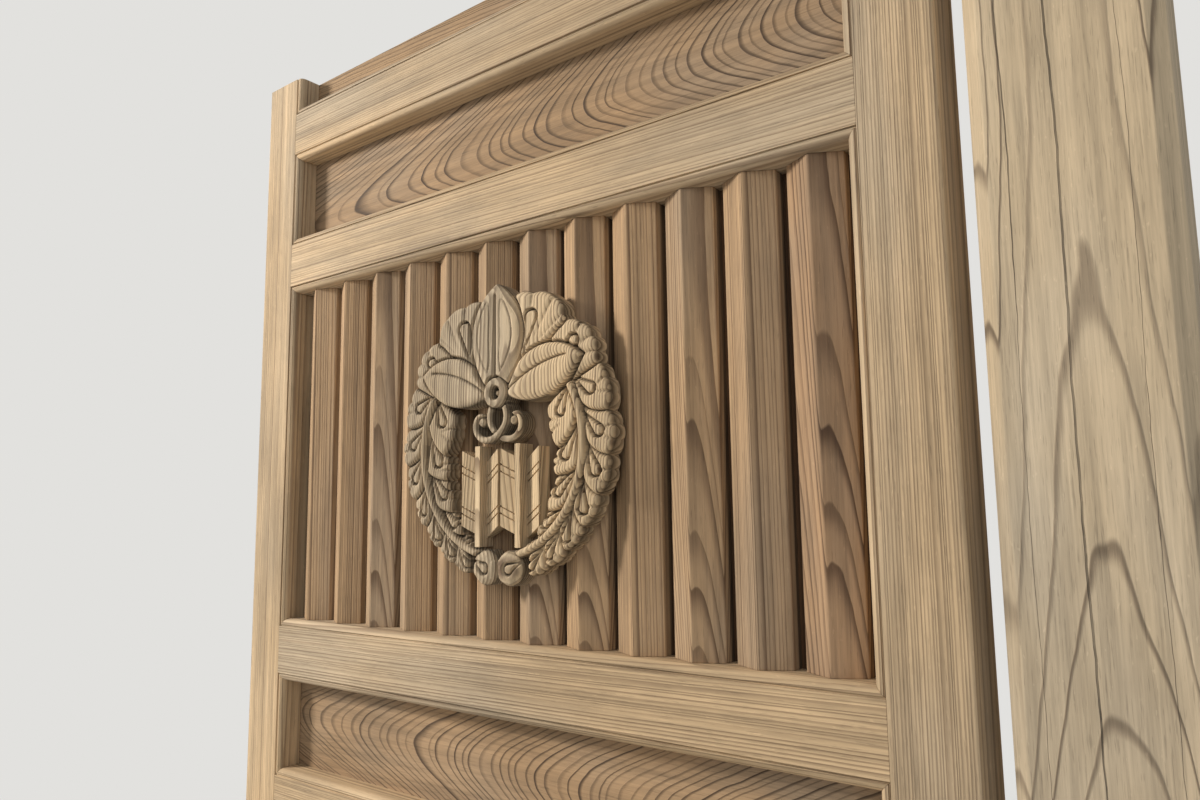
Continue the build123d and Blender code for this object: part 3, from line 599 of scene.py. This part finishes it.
# Drops carved in the leaflets: where each starts, where its round end is centred, and its radius
OUTER_DROPS = (
    ((30.5, 157.0), (22.3, 172.0), 6.5),
    ((11.5, 155.0), (3.8, 171.5), 6.5),
    ((-3.5, 154.0), (-12.8, 170.0), 6.5),
    ((-21.0, 155.0), (-30.0, 169.0), 6.0),
    ((-37.0, 156.0), (-45.5, 168.0), 5.5),
    ((-49.5, 157.0), (-58.0, 168.0), 5.0),
    ((-62.0, 158.0), (-69.5, 168.0), 4.5),
)
INNER_DROPS = (
    ((29.5, 138.0), (20.5, 118.0), 6.5),
    ((10.0, 138.0), (-7.5, 119.0), 6.5),
    ((-13.5, 138.0), (-30.5, 123.0), 6.0),
    ((-36.0, 139.0), (-50.5, 133.0), 5.5),
    ((-55.0, 141.5), (-65.0, 141.0), 3.2),
)
DROP_SIZE = 1.22  # the leaflets' drops are carved larger than listed by this factor
DROP_HALF = 2.9  # half width of the groove round a drop
DROP_DEPTH = 3.0  # its depth at the drop's point
DROP_GAIN = 3.4  # and how much deeper it is at the round end
DROP_SWELL = 1.0
LEAF_BASE = (17.0, 50.0)
LEAF_TIP = (148.0, 90.0)
LEAF_UPPER = (78.0, 109.0)
LEAF_LOWER = (96.0, 43.0)
LEAF_RIB = ((20.0, 53.0), (72.0, 81.0), (124.0, 92.0))
LEAF_TOP = 33.0
LEAF_RIDGE = (15.0, 6.0)  # the fall from a half's crest to the rib, which starts inside the fold
LEAF_FOLD = 1.5
LEAF_EDGE = (12.0, 6.5)
LEAF_CREASE = (2.0, 2.2)
LEAF_MOAT = (5.5, 7.0)
BUD_APEX = (0.0, 205.0)
BUD_SIDE = (47.0, 136.0)
BUD_SHOULDER = (31.0, 180.0)
BUD_WAIST = (41.0, 97.0)
BUD_FOOT = (20.0, 62.0)
BUD_SEAM = ((0.0, 72.0), (0.0, 188.0))
BUD_TOP = 33.0
BUD_RIDGE = (12.0, 6.0)
BUD_FOLD = 1.0
BUD_EDGE = (16.0, 9.0)
SEAM_CREASE = (2.4, 3.0)
LOOP_CREASE = (2.2, 1.6)
BUD_LOOP = (
    (12.0, 82.0), (20.0, 92.0), (29.0, 112.0), (32.0, 134.0), (27.0, 158.0),
    (15.0, 179.0), (10.0, 168.0), (10.0, 130.0), (9.0, 98.0), (12.0, 82.0),
)
FLOWER_TOP = 30.0
FLOWER_SWELL = 5.0
FLOWER_BOWL = 2.0  # fall of a flower's face from its fan's centre to its cusps
FLOWER_EDGE = (11.0, 7.0)
FLOWER_FAN = 0.35  # start of the furrows between the fan's centre and the cusps
FLOWER_FADE = 9.0  # how far the furrows rise to the face at that centre
FLOWER_MOAT = (3.5, 5.0)
FIRST_FLOWER = ((28.0, 182.0), (64.0, 182.0), (101.0, 171.0), (117.0, 146.0), (110.0, 130.0))
FIRST_ROOT = ((70.0, 96.0), (30.0, 60.0), (22.0, 80.0))
FIRST_DROP = ((51.0, 103.0), (63.0, 149.0), 11.0)
FIRST_FAN = (58.0, 100.0)
SECOND_FLOWER = ((114.0, 136.0), (144.0, 130.0), (160.0, 112.0), (166.0, 92.0), (163.0, 74.0))
SECOND_ROOT = ((122.0, 54.0), (72.0, 100.0))
SECOND_DROP = ((112.0, 96.0), (133.0, 109.0), 8.5)
SECOND_FAN = (112.0, 86.0)
RING_CENTRE = (0.0, 53.0)
RING_RADIUS = 21.0
RING_BORE = 9.0
RING_TOP = 33.0
RING_EDGE = (6.0, 6.0)
BORE_EDGE = (4.0, 4.0)
RING_MOAT = (4.0, 6.0)
BOSS_RADIUS = 4.5
BOSS_TOP = 26.0
BOSS_EDGE = (3.5, 3.5)
CURL_HALF = 4.9
CURL_TOP = 26.0
CURL_STEP = 3.0  # how far the right tendril lies over the left one where they cross
CURL_MOAT = (2.5, 4.0)
CURL_PATH = (
    (-8.5, 42.0), (-14.5, 32.0), (-17.0, 21.0), (-14.0, 9.0), (-4.0, -1.5), (9.0, -8.5),
    (22.0, -10.0), (33.0, -6.0), (40.0, 3.0), (40.5, 14.0), (34.5, 22.0), (26.0, 21.0),
)
KNOB_CENTRE = (28.0, 14.5)
KNOB_RADIUS = 6.5
ROSETTE_CENTRE = (22.0, -181.0)
ROSETTE_RADIUS = 23.5
ROSETTE_TOP = 30.0
ROSETTE_EDGE = (12.0, 9.0)
ROSETTE_LOBES = 12
ROSETTE_NOTCH = (0.5, 1.6)  # half width, as a share of half a lobe, and depth
ROSETTE_RIM = 9.0  # how far in from the rim the notches reach
ROSETTE_MOAT = (2.5, 3.0)
ROSETTE_DROP = ((43.0, -172.0), (22.0, -182.0), 7.5)
# Points of the curves
ARC_POINTS = 18
SWELL_POINTS = 8
BEND_POINTS = 12
STEM_POINTS = 60
DISC_POINTS = 48
SMOOTH_STEPS = 6
# The relief's grid
GRID = 1.15  # spacing of its points
RIM_SHIFT = 0.9  # how far, in cells, a point at the rim may move onto the outline
SAMPLE_SHIFT = 0.27  # place of the four samples round a point, in cells
FACE_FLOOR = 4.0  # least thickness of the relief
# Painted shade for the crest's hollows, and wear for its raised edges
HOLLOW_REACH = 3  # points to each side over which a hollow or an edge is found
HOLLOW_DEPTH = 2.8  # a hollow this deep is fully dark
EDGE_HEIGHT = 2.5  # an edge this high is fully worn
SMOOTH_ANGLE = radians(55)
NOTHING = -1e3
TINY = 1e-6


def spray_point(angle, radius):
    """A point given by its angle and radius about the stems' centre."""
    return radius * cos(radians(angle)), SPRAY_CENTRE + radius * sin(radians(angle))


def arc_through(a, b, c, count=ARC_POINTS):
    """Points along the circle's arc from a over b to c, without the last one."""
    (ax, ay), (bx, by), (cx, cy) = a, b, c
    d = 2 * (ax * (by - cy) + bx * (cy - ay) + cx * (ay - by))
    sa, sb, sc = ax**2 + ay**2, bx**2 + by**2, cx**2 + cy**2
    x = (sa * (by - cy) + sb * (cy - ay) + sc * (ay - by)) / d
    y = (sa * (cx - bx) + sb * (ax - cx) + sc * (bx - ax)) / d
    start, middle, end = [atan2(p[1] - y, p[0] - x) for p in (a, b, c)]
    sweep = (end - start) % (2 * pi)
    if (middle - start) % (2 * pi) > sweep:
        sweep -= 2 * pi
    radius = hypot(ax - x, ay - y)
    steps = [start + sweep * k / count for k in range(count)]
    return [(x + radius * cos(t), y + radius * sin(t)) for t in steps]


def swelling(a, b, swell):
    """Points along a flat arc from a to b that swells to the left by a given height."""
    dx, dy = b[0] - a[0], b[1] - a[1]
    length = hypot(dx, dy)
    middle = ((a[0] + b[0]) / 2 - dy / length * swell, (a[1] + b[1]) / 2 + dx / length * swell)
    return arc_through(a, middle, b, SWELL_POINTS)


def distance_to_line(p, points):
    """Distance of each point of p to an open polyline."""
    best = np.full(len(p), np.inf)
    for a, b in zip(points, points[1:]):
        a, b = np.array(a), np.array(b)
        run = b - a
        share = np.clip((p - a) @ run / (run @ run), 0, 1)
        best = np.minimum(best, np.hypot(*(p - a - share[:, None] * run).T))
    return best


def depth_inside(p, outline):
    """Signed distance to a closed outline, positive inside."""
    closed = list(outline) + [outline[0]]
    distance = distance_to_line(p, closed)
    inside = np.zeros(len(p), bool)
    for (ax, ay), (bx, by) in zip(closed, closed[1:]):
        crosses = (ay > p[:, 1]) != (by > p[:, 1])
        if by != ay:
            inside ^= crosses & (p[:, 0] < (bx - ax) * (p[:, 1] - ay) / (by - ay) + ax)
    return np.where(inside, distance, -distance)


def fall(depth, reach, drop):
    """How far a surface drops towards an edge, as a quarter ellipse of a given reach and drop."""
    t = np.clip(1 - depth / reach, 0, 1)
    return drop * (1 - np.sqrt(1 - t**2))


def groove(distance, half, depth):
    """A smooth hollow along a line, of a given half width and depth."""
    t = np.clip(distance / half, 0, 1)
    return depth * (1 - t**2) ** 2


def drop_groove(p, start, end, radius):
    """How deep a drop is cut: the groove round it, which widens from a point to a round end, and the
    fall of its swelling towards the groove."""
    start, end = np.array(start), np.array(end)
    run = end - start
    length = np.hypot(*run)
    axis = run / length
    x = (p - start) @ axis
    y = np.abs((p - start) @ np.array((-axis[1], axis[0])))
    slope = radius / length
    lean = np.hypot(1, slope)
    distance = (y - x * slope) / lean
    along = (x + y * slope) / lean**2
    distance = np.where(along > length, np.hypot(x - length, y) - radius, distance)
    distance = np.where(along < 0, np.hypot(x, y), distance)
    deep = DROP_DEPTH + DROP_GAIN * np.clip(x / length, 0, 1)
    swelling_fall = np.where(distance < 0, DROP_SWELL * (1 + distance / radius), 0.0)
    return groove(np.abs(distance), DROP_HALF, 1.0) * deep + swelling_fall


class Shape:
    """A carved form: its outline, the function that gives its height, and the moat round it."""

    def __init__(self, outline, height, moat=NO_MOAT):
        self.outline = outline
        self.height = height
        self.moat = moat
        corners = np.array(outline)
        self.low, self.high = corners.min(0) - SHAPE_REACH, corners.max(0) + SHAPE_REACH

    def apply(self, points, depth, height, mirrored):
        """Lay this form over the height field, and widen the depth inside the whole figure."""
        p = points * np.array((-1, 1)) if mirrored else points
        near = np.all((p > self.low) & (p < self.high), axis=1)
        q = p[near]
        inside = depth_inside(q, self.outline)
        depth[near] = np.maximum(depth[near], inside)
        before = height[near]
        covered = (inside > 0) | ((inside > -OVERLAP) & (before < 0))
        lowered = np.maximum(before - groove(-inside, *self.moat), np.minimum(before, MOAT_FLOOR))
        height[near] = np.where(covered, self.height(q, np.maximum(inside, 0)), lowered)


def bent(start, control, end):
    """Points of a smooth bend, given as angles and radii about the stems' centre."""
    points = []
    for t in np.linspace(0, 1, BEND_POINTS):
        first, second, third = (1 - t) ** 2, 2 * t * (1 - t), t**2
        mix = [first * a + second * b + third * c for a, b, c in zip(start, control, end)]
        points.append(spray_point(*mix))
    return points


def seams(notches):
    """The cuts between leaflets: each leaves the stem along it and then turns out to its notch."""
    outer = notches[0][1] > STEM_RADIUS
    lines = []
    leads = [FIRST_LEAD] + [LEAD * (a[0] - b[0]) for a, b in zip(notches, notches[1:])]
    for (angle, radius), lead in zip(notches, leads):
        if outer:
            start = (angle + lead, STEM_RADIUS + STEM_HALF - SEAM_START)
            control = (angle + OUTER_BEND[0] * lead, STEM_RADIUS + STEM_HALF + OUTER_BEND[1])
        else:
            start = (angle + lead, STEM_RADIUS - STEM_HALF + SEAM_START)
            control = (angle + INNER_BEND[0] * lead, (STEM_RADIUS + radius) / 2 + INNER_BEND[1])
        lines.append(bent(start, control, (angle, radius)))
    return lines


def fan_lines(centre, cusps, start):
    """Lines to the cusps of a rim from a share of the way between the fan's centre and each."""
    return [[tuple(centre + (np.array(cusp) - centre) * start), cusp] for cusp in cusps]


def leaflet(upper, lower, rim, crown, drop):
    """One leaflet between two seams: it rises to its lower edge and has a scalloped rim and a drop."""
    (start, _), (end, _) = rim
    inward = CUSP if crown > STEM_RADIUS else -CUSP
    shares = [number / PETALS for number in range(1, PETALS)]
    cusps = [spray_point(start + share * (end - start), crown - inward) for share in shares]
    cusps = [upper[-1]] + cusps + [lower[-1]]
    outline = []
    for a, b in zip(cusps, cusps[1:]):
        outline += swelling(a, b, SCALLOP if crown > STEM_RADIUS else -SCALLOP)
    outline += lower[::-1] + upper[:-1]
    fan = np.array(spray_point((start + end) / 2, (crown + STEM_RADIUS) / 2))
    root, head = [np.array(spray_point(*point)) for point in drop[:2]]
    root = head + (root - head) * DROP_SIZE
    creases = fan_lines(fan, cusps[1:-1], LEAFLET_FAN)

    def height(p, depth):
        above, below = distance_to_line(p, upper), distance_to_line(p, lower)
        level = LEAFLET_TOP - LEAFLET_LEAN * below / (above + below + TINY)
        level = level - fall(depth, *LEAFLET_EDGE)
        for crease in creases:
            reach = np.hypot(*(np.array(crease[1]) - fan))
            share = 1 - np.clip(np.hypot(*(p - np.array(crease[1])).T) / reach, 0, 1)
            level = level - groove(distance_to_line(p, crease), *LEAFLET_CREASE) * share
        return level - drop_groove(p, root, head, drop[2] * DROP_SIZE)

    return Shape(outline, height)


def spray(notches, crowns, drops):
    """All leaflets on one side of a stem."""
    lines = seams(notches)
    parts = zip(lines, lines[1:], zip(notches, notches[1:]), crowns, drops)
    return [leaflet(*part) for part in parts]


def smooth_line(points):
    """A smooth line through a few points, with the first and last ones doubled as ends."""
    p = np.array([points[0], *points, points[-1]])
    line = []
    for a, b, c, d in zip(p, p[1:], p[2:], p[3:]):
        for t in np.linspace(0, 1, SMOOTH_STEPS, endpoint=False):
            bend = (2 * a - 5 * b + 4 * c - d) * t**2 + (3 * b - a - 3 * c + d) * t**3
            line.append((2 * b + (c - a) * t + bend) / 2)
    return [*line, p[-1]]


def band(points, half, top, moat):
    """A rounded band along a curve."""
    points = np.array(points)
    run = np.gradient(points, axis=0)
    normal = np.stack((-run[:, 1], run[:, 0]), 1) / np.hypot(*run.T)[:, None]
    outline = np.concatenate([points + normal * half, (points - normal * half)[::-1]])

    def height(p, depth):
        return top - fall(depth, half, half * BAND_DROP)

    return Shape([tuple(point) for point in outline], height, moat)


def stem():
    """The arched stem of one spray."""
    points = [spray_point(angle, STEM_RADIUS) for angle in np.linspace(*STEM_SPAN, STEM_POINTS)]
    return band(points, STEM_HALF, STEM_TOP, STEM_MOAT)


def flower(cusps, root, top, drop, fan):
    """An open flower: full petals spread from its root, round a drop."""
    centre = np.array(fan)
    full = max(np.hypot(*(np.array(cusp) - centre)) for cusp in cusps)
    furrows = fan_lines(centre, cusps[1:-1], FLOWER_FAN)
    outline = []
    for a, b in zip(cusps, cusps[1:]):
        outline += swelling(a, b, FLOWER_SWELL)
    outline += [cusps[-1], *root]

    def height(p, depth):
        share = np.clip(np.hypot(*(p - centre).T) / full, 0, 1)
        near = depth
        for furrow in furrows:
            near = np.minimum(near, distance_to_line(p, furrow) + FLOWER_FADE * (1 - share))
        return top - FLOWER_BOWL * share - fall(near, *FLOWER_EDGE) - drop_groove(p, *drop)

    return Shape(outline, height, FLOWER_MOAT)


def broad_leaf():
    """A pointed leaf with two swelling halves beside its curved rib."""
    outline = arc_through(LEAF_BASE, LEAF_UPPER, LEAF_TIP)
    outline += arc_through(LEAF_TIP, LEAF_LOWER, LEAF_BASE)
    rib = arc_through(*LEAF_RIB) + [LEAF_RIB[-1]]

    def height(p, depth):
        away = distance_to_line(p, rib)
        level = LEAF_TOP - fall(away + LEAF_FOLD, *LEAF_RIDGE) - fall(depth, *LEAF_EDGE)
        return level - groove(away, *LEAF_CREASE)

    return Shape(outline, height, LEAF_MOAT)


def bud():
    """The pointed bud over the ring: two round halves, each with a looped crease, and a deep seam."""
    right = arc_through(BUD_APEX, BUD_SHOULDER, BUD_SIDE)
    right += arc_through(BUD_SIDE, BUD_WAIST, BUD_FOOT) + [BUD_FOOT]
    outline = right + [(-u, v) for u, v in reversed(right)][:-1]
    loop = smooth_line(BUD_LOOP)

    def height(p, depth):
        away = distance_to_line(p, BUD_SEAM)
        level = BUD_TOP - fall(away + BUD_FOLD, *BUD_RIDGE) - fall(depth, *BUD_EDGE)
        level = level - groove(away, *SEAM_CREASE)
        return level - groove(distance_to_line(np.abs(p), loop), *LOOP_CREASE)

    return Shape(outline, height, LEAF_MOAT)


def disc(centre, radius, height, moat):
    """A round form."""
    angles = np.linspace(0, 2 * pi, DISC_POINTS, endpoint=False)
    outline = [(centre[0] + radius * cos(t), centre[1] + radius * sin(t)) for t in angles]
    return Shape(outline, height, moat)


def ring():
    """The ring with its bore and the small boss inside."""
    centre = np.array(RING_CENTRE)

    def height(p, depth):
        reach = np.hypot(*(p - centre).T)
        wall = RING_TOP - fall(depth, *RING_EDGE) - fall(reach - RING_BORE, *BORE_EDGE)
        boss = BOSS_TOP - fall(BOSS_RADIUS - reach, *BOSS_EDGE)
        return np.where(reach > RING_BORE, wall, np.where(reach < BOSS_RADIUS, boss, RING_TOP / 2))

    return disc(RING_CENTRE, RING_RADIUS, height, RING_MOAT)


def curl(top):
    """A tendril that leaves the ring, loops under it and rolls up beside it, and its knob."""

    def height(p, depth):
        return top - fall(depth, KNOB_RADIUS, KNOB_RADIUS)

    tendril = band(smooth_line(CURL_PATH), CURL_HALF, top, CURL_MOAT)
    return [tendril, disc(KNOB_CENTRE, KNOB_RADIUS, height, CURL_MOAT)]


def rosette():
    """The rolled tip of a spray, with its curled drop."""
    centre = np.array(ROSETTE_CENTRE)

    def height(p, depth):
        turn = np.arctan2(*(p - centre).T)
        notches = groove((turn * ROSETTE_LOBES / 2 / pi) % 2 - 1, *ROSETTE_NOTCH)
        notches = notches * np.clip(1 - depth / ROSETTE_RIM, 0, 1)
        return ROSETTE_TOP - fall(depth, *ROSETTE_EDGE) - notches - drop_groove(p, *ROSETTE_DROP)

    return disc(ROSETTE_CENTRE, ROSETTE_RADIUS, height, ROSETTE_MOAT)


def wreath_shapes():
    """The crest's forms from the lowest to the topmost; True means the mirrored side."""
    both = spray(OUTER_NOTCHES, OUTER_CROWNS, OUTER_DROPS)
    both += spray(INNER_NOTCHES, INNER_CROWNS, INNER_DROPS)
    both += [stem(), rosette()]
    both.append(flower(SECOND_FLOWER, SECOND_ROOT, LEAFLET_TOP, SECOND_DROP, SECOND_FAN))
    both.append(flower(FIRST_FLOWER, FIRST_ROOT, FLOWER_TOP, FIRST_DROP, FIRST_FAN))
    both.append(broad_leaf())
    pairs = [(shape, side) for shape in both for side in (False, True)]
    pairs += [(bud(), False)]
    pairs += [(shape, False) for shape in curl(CURL_TOP)]
    pairs += [(shape, True) for shape in curl(CURL_TOP + CURL_STEP)]
    return pairs + [(ring(), False)]


def sample(shapes, points):
    """Depth inside the figure and height of its face at each point."""
    depth = np.full(len(points), NOTHING)
    height = np.full(len(points), NOTHING)
    for shape, mirrored in shapes:
        shape.apply(points, depth, height, mirrored)
    return depth, height


def blurred(field, reach):
    """A field averaged over a square window."""
    for axis in (0, 1):
        edges = [(reach + 1, reach) if k == axis else (0, 0) for k in (0, 1)]
        total = np.cumsum(np.pad(field, edges, "edge"), axis)
        size = field.shape[axis]
        ahead = np.take(total, range(2 * reach + 1, size + 2 * reach + 1), axis)
        field = (ahead - np.take(total, range(size), axis)) / (2 * reach + 1)
    return field


def carved_face(shapes):
    """The relief's points, their heights, the figure's cells and points, and how deep each point lies
    below those round it."""
    line = np.arange(-CREST_REACH, CREST_REACH + GRID, GRID)
    grid = np.stack(np.meshgrid(line, line, indexing="ij"), -1)
    shape = grid.shape[:2]
    depth, height = sample(shapes, grid.reshape(-1, 2))
    field = depth.reshape(shape)
    cells = (field[:-1, :-1] + field[1:, :-1] + field[:-1, 1:] + field[1:, 1:]) > 0
    # Two cells that meet only at a corner get a third one beside them
    near, far, right, left = cells[:-1, :-1], cells[1:, 1:], cells[1:, :-1], cells[:-1, 1:]
    rising, falling = near & far & ~right & ~left, right & left & ~near & ~far
    right |= rising
    near |= falling
    used = np.zeros(shape, int)
    for i, j in ((0, 0), (1, 0), (0, 1), (1, 1)):
        used[i:shape[0] - 1 + i, j:shape[1] - 1 + j] += cells
    rim = (used > 0) & (used < 4)
    slope = np.stack(np.gradient(field, GRID), -1)
    slope /= np.maximum(np.linalg.norm(slope, axis=-1, keepdims=True), TINY)
    step = np.clip(field, -RIM_SHIFT * GRID, RIM_SHIFT * GRID)[..., None] * slope
    grid = np.where(rim[..., None], grid - step, grid)
    total = np.zeros(shape)
    for u, v in ((-1, -1), (-1, 1), (1, -1), (1, 1)):
        shift = np.array((u, v)) * GRID * SAMPLE_SHIFT
        place = np.where(rim[..., None], grid, grid + shift)
        level = sample(shapes, place.reshape(-1, 2))[1].reshape(shape)
        total += np.maximum(level, FACE_FLOOR) / 4
    solid = np.where(used > 0, total, 0.0)
    share = np.maximum(blurred((used > 0).astype(float), HOLLOW_REACH), TINY)
    mean = blurred(solid, HOLLOW_REACH) / share
    return grid, solid, cells, used > 0, mean - solid


def relief_mesh(name, shapes):
    """A closed relief over the figure: its carved face, its walls and its flat back."""
    grid, solid, cells, kept, hollow = carved_face(shapes)
    index = np.full(kept.shape, -1)
    count = int(kept.sum())
    index[kept] = np.arange(count)
    top = np.concatenate([grid[kept], solid[kept][:, None]], 1)
    quads = np.stack([index[:-1, :-1], index[1:, :-1], index[1:, 1:], index[:-1, 1:]], -1)[cells]
    sides = np.concatenate([quads[:, [k, (k + 1) % 4]] for k in range(4)])
    key = np.sort(sides, 1)
    _, first, times = np.unique(key[:, 0] * count + key[:, 1], return_index=True, return_counts=True)
    lower = {}
    verts = [tuple(p) for p in top]
    faces = [tuple(q) for q in quads]
    for a, b in sides[first[times == 1]]:
        for vertex in (a, b):
            if vertex not in lower:
                lower[vertex] = len(verts)
                verts.append((top[vertex][0], top[vertex][1], 0.0))
        faces.append((b, a, lower[a], lower[b]))
    mesh = bpy.data.meshes.new(name)
    mesh.from_pydata([CREST_ORIGIN + Vector((-w, -u, v)) * MM for u, v, w in verts], [], faces)
    # Vertex values for the material: painted shade in the hollows, and wear on the raised edges
    for layer, sign, depth in (("hollow_shade", 1.0, HOLLOW_DEPTH), ("edge", -1.0, EDGE_HEIGHT)):
        values = np.zeros(len(verts), np.float32)
        values[:count] = np.clip(sign * hollow[kept] / depth, 0, 1)
        mesh.attributes.new(layer, "FLOAT", "POINT").data.foreach_set("value", values)
    close_back(mesh, shapes)
    return mesh


def patches(faces, rim):
    """Groups of faces that are joined by edges other than the rim's."""
    left = set(faces)
    while left:
        group = [left.pop()]
        for face in group:
            for edge in face.edges:
                if edge not in rim:
                    beside = [other for other in edge.link_faces if other in left]
                    left.difference_update(beside)
                    group += beside
        yield group


def close_back(mesh, shapes):
    """Fill the open back of a relief, apart from the figure's openings, and turn all faces outwards."""
    build = bmesh.new()
    build.from_mesh(mesh)
    rim = {edge for edge in build.edges if edge.is_boundary}
    filled = bmesh.ops.triangle_fill(build, edges=list(rim), use_beauty=True)["geom"]
    stray = []
    for group in patches([item for item in filled if isinstance(item, bmesh.types.BMFace)], rim):
        largest = max(group, key=lambda face: face.calc_area())
        spot = (largest.calc_center_median() - CREST_ORIGIN) / MM
        if sample(shapes, np.array([(-spot.y, spot.z)]))[0][0] < 0:
            stray += group
    bmesh.ops.delete(build, geom=stray, context="FACES")
    bmesh.ops.recalc_face_normals(build, faces=build.faces)
    build.to_mesh(mesh)
    build.free()
    mesh.shade_smooth()
    mesh.set_sharp_from_angle(angle=SMOOTH_ANGLE)


def dress_crest():
    """The wreath as a carved relief, the two feathers and the dowels."""
    wreath_wood = timber(
        "wreath_wood", "YXZ", CREST_TONES, pith=(0.68, -0.035), spacing=0.0039, taper=0.02,
        wander=0.007, contrast=1.0, early=0.2, relief=0.0009, seed=70, uneven=0.5,
    )
    wreath = new_object("carved_wreath_relief", relief_mesh("wreath_relief", wreath_shapes()))
    paint(wreath, wreath_wood)
    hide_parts("carved_wreath")
    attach(wreath, "leaf")
    feather_wood = timber(
        "feather_wood", "YXZ", CREST_TONES, pith=(0.74, -0.04), spacing=0.0034, taper=0.05,
        wander=0.008, contrast=0.85, seed=71,
    )
    for name in ("left_feather", "right_feather"):
        item = worn_copy(name, FEATHER_ARRIS)
        paint(item, feather_wood)
    paint(NODES["crest_dowels"], timber("dowel_wood", "YZX", DOWEL_TONES, seed=72))


def set_stage():
    """A plain pale floor that fades into the backdrop with distance where the camera sees it."""
    mesh = bpy.data.meshes.new("floor")
    corners = [(x * FLOOR_HALF, y * FLOOR_HALF, 0) for x, y in ((-1, -1), (1, -1), (1, 1), (-1, 1))]
    mesh.from_pydata(corners, [], [(0, 1, 2, 3)])
    floor = new_object("floor", mesh)
    s = Shader("floor_paint")
    named = {"Base Color": FLOOR, "Roughness": 0.9, "Specular IOR Level": 0.2}
    plain = s.feed(s.add("ShaderNodeBsdfPrincipled"), **named)
    glow = s.feed(s.add("ShaderNodeEmission"), Color=BACKDROP)
    xyz = s.place()
    faded = s.ramp(s.length(xyz["X"], xyz["Y"]), *FLOOR_FADE)
    seen = s.add("ShaderNodeLightPath").outputs["Is Camera Ray"]
    face = s.feed(s.add("ShaderNodeMixShader"), s.times(faded, seen), plain, glow)
    s.plug(s.output.inputs[0], face)
    paint(floor, s.material)


def light_world():
    """Even light from all round, and a pale backdrop for the camera, mirrors and glass."""
    world = bpy.data.worlds.new("studio")
    bpy.context.scene.world = world
    world.use_nodes = True
    tree = world.node_tree
    tree.nodes.clear()
    path = tree.nodes.new("ShaderNodeLightPath")
    seen = path.outputs["Is Camera Ray"]
    for ray in ("Is Glossy Ray", "Is Transmission Ray"):
        either = tree.nodes.new("ShaderNodeMath")
        either.operation = "MAXIMUM"
        tree.links.new(seen, either.inputs[0])
        tree.links.new(path.outputs[ray], either.inputs[1])
        seen = either.outputs[0]
    mix = tree.nodes.new("ShaderNodeMixShader")
    tree.links.new(seen, mix.inputs[0])
    for socket, colour, strength in ((1, SOFT_LIGHT, SOFT_STRENGTH), (2, BACKDROP, 1.0)):
        node = tree.nodes.new("ShaderNodeBackground")
        node.inputs[0].default_value = colour
        node.inputs[1].default_value = strength
        tree.links.new(node.outputs[0], mix.inputs[socket])
    output = tree.nodes.new("ShaderNodeOutputWorld")
    tree.links.new(mix.outputs[0], output.inputs[0])


def set_lights():
    """Soft square lamps: a key that rakes over the leaf's face from its free edge's side, and fills."""
    light_world()
    for name, (place, target, size, power, colour) in LAMPS.items():
        lamp = bpy.data.lights.new(name, "AREA")
        lamp.size = size
        lamp.energy = power
        lamp.color = colour
        item = new_object(name, lamp)
        item.location = place
        item.rotation_mode = "QUATERNION"
        item.rotation_quaternion = (Vector(target) - Vector(place)).to_track_quat("-Z", "Y")


def set_camera():
    """The photograph's viewpoint: turned, tilted up and slightly rolled."""
    ahead = Vector((cos(YAW) * cos(PITCH), sin(YAW) * cos(PITCH), sin(PITCH)))
    right = Vector((sin(YAW), -cos(YAW), 0.0))
    down = ahead.cross(right)
    side = right * cos(ROLL) + down * sin(ROLL)
    below = down * cos(ROLL) - right * sin(ROLL)
    lens = bpy.data.cameras.new("view")
    lens.sensor_width = SENSOR
    lens.lens = FOCAL_PIXELS / FRAME_WIDTH * SENSOR
    camera = new_object("view", lens)
    turn = Matrix((side, -below, -ahead)).transposed().to_4x4()
    camera.matrix_world = Matrix.Translation(EYE) @ turn
    bpy.context.scene.camera = camera


dress_wood()
dress_iron()
dress_crest()
set_stage()
set_lights()
set_camera()
bpy.context.scene.view_settings.view_transform = "Standard"
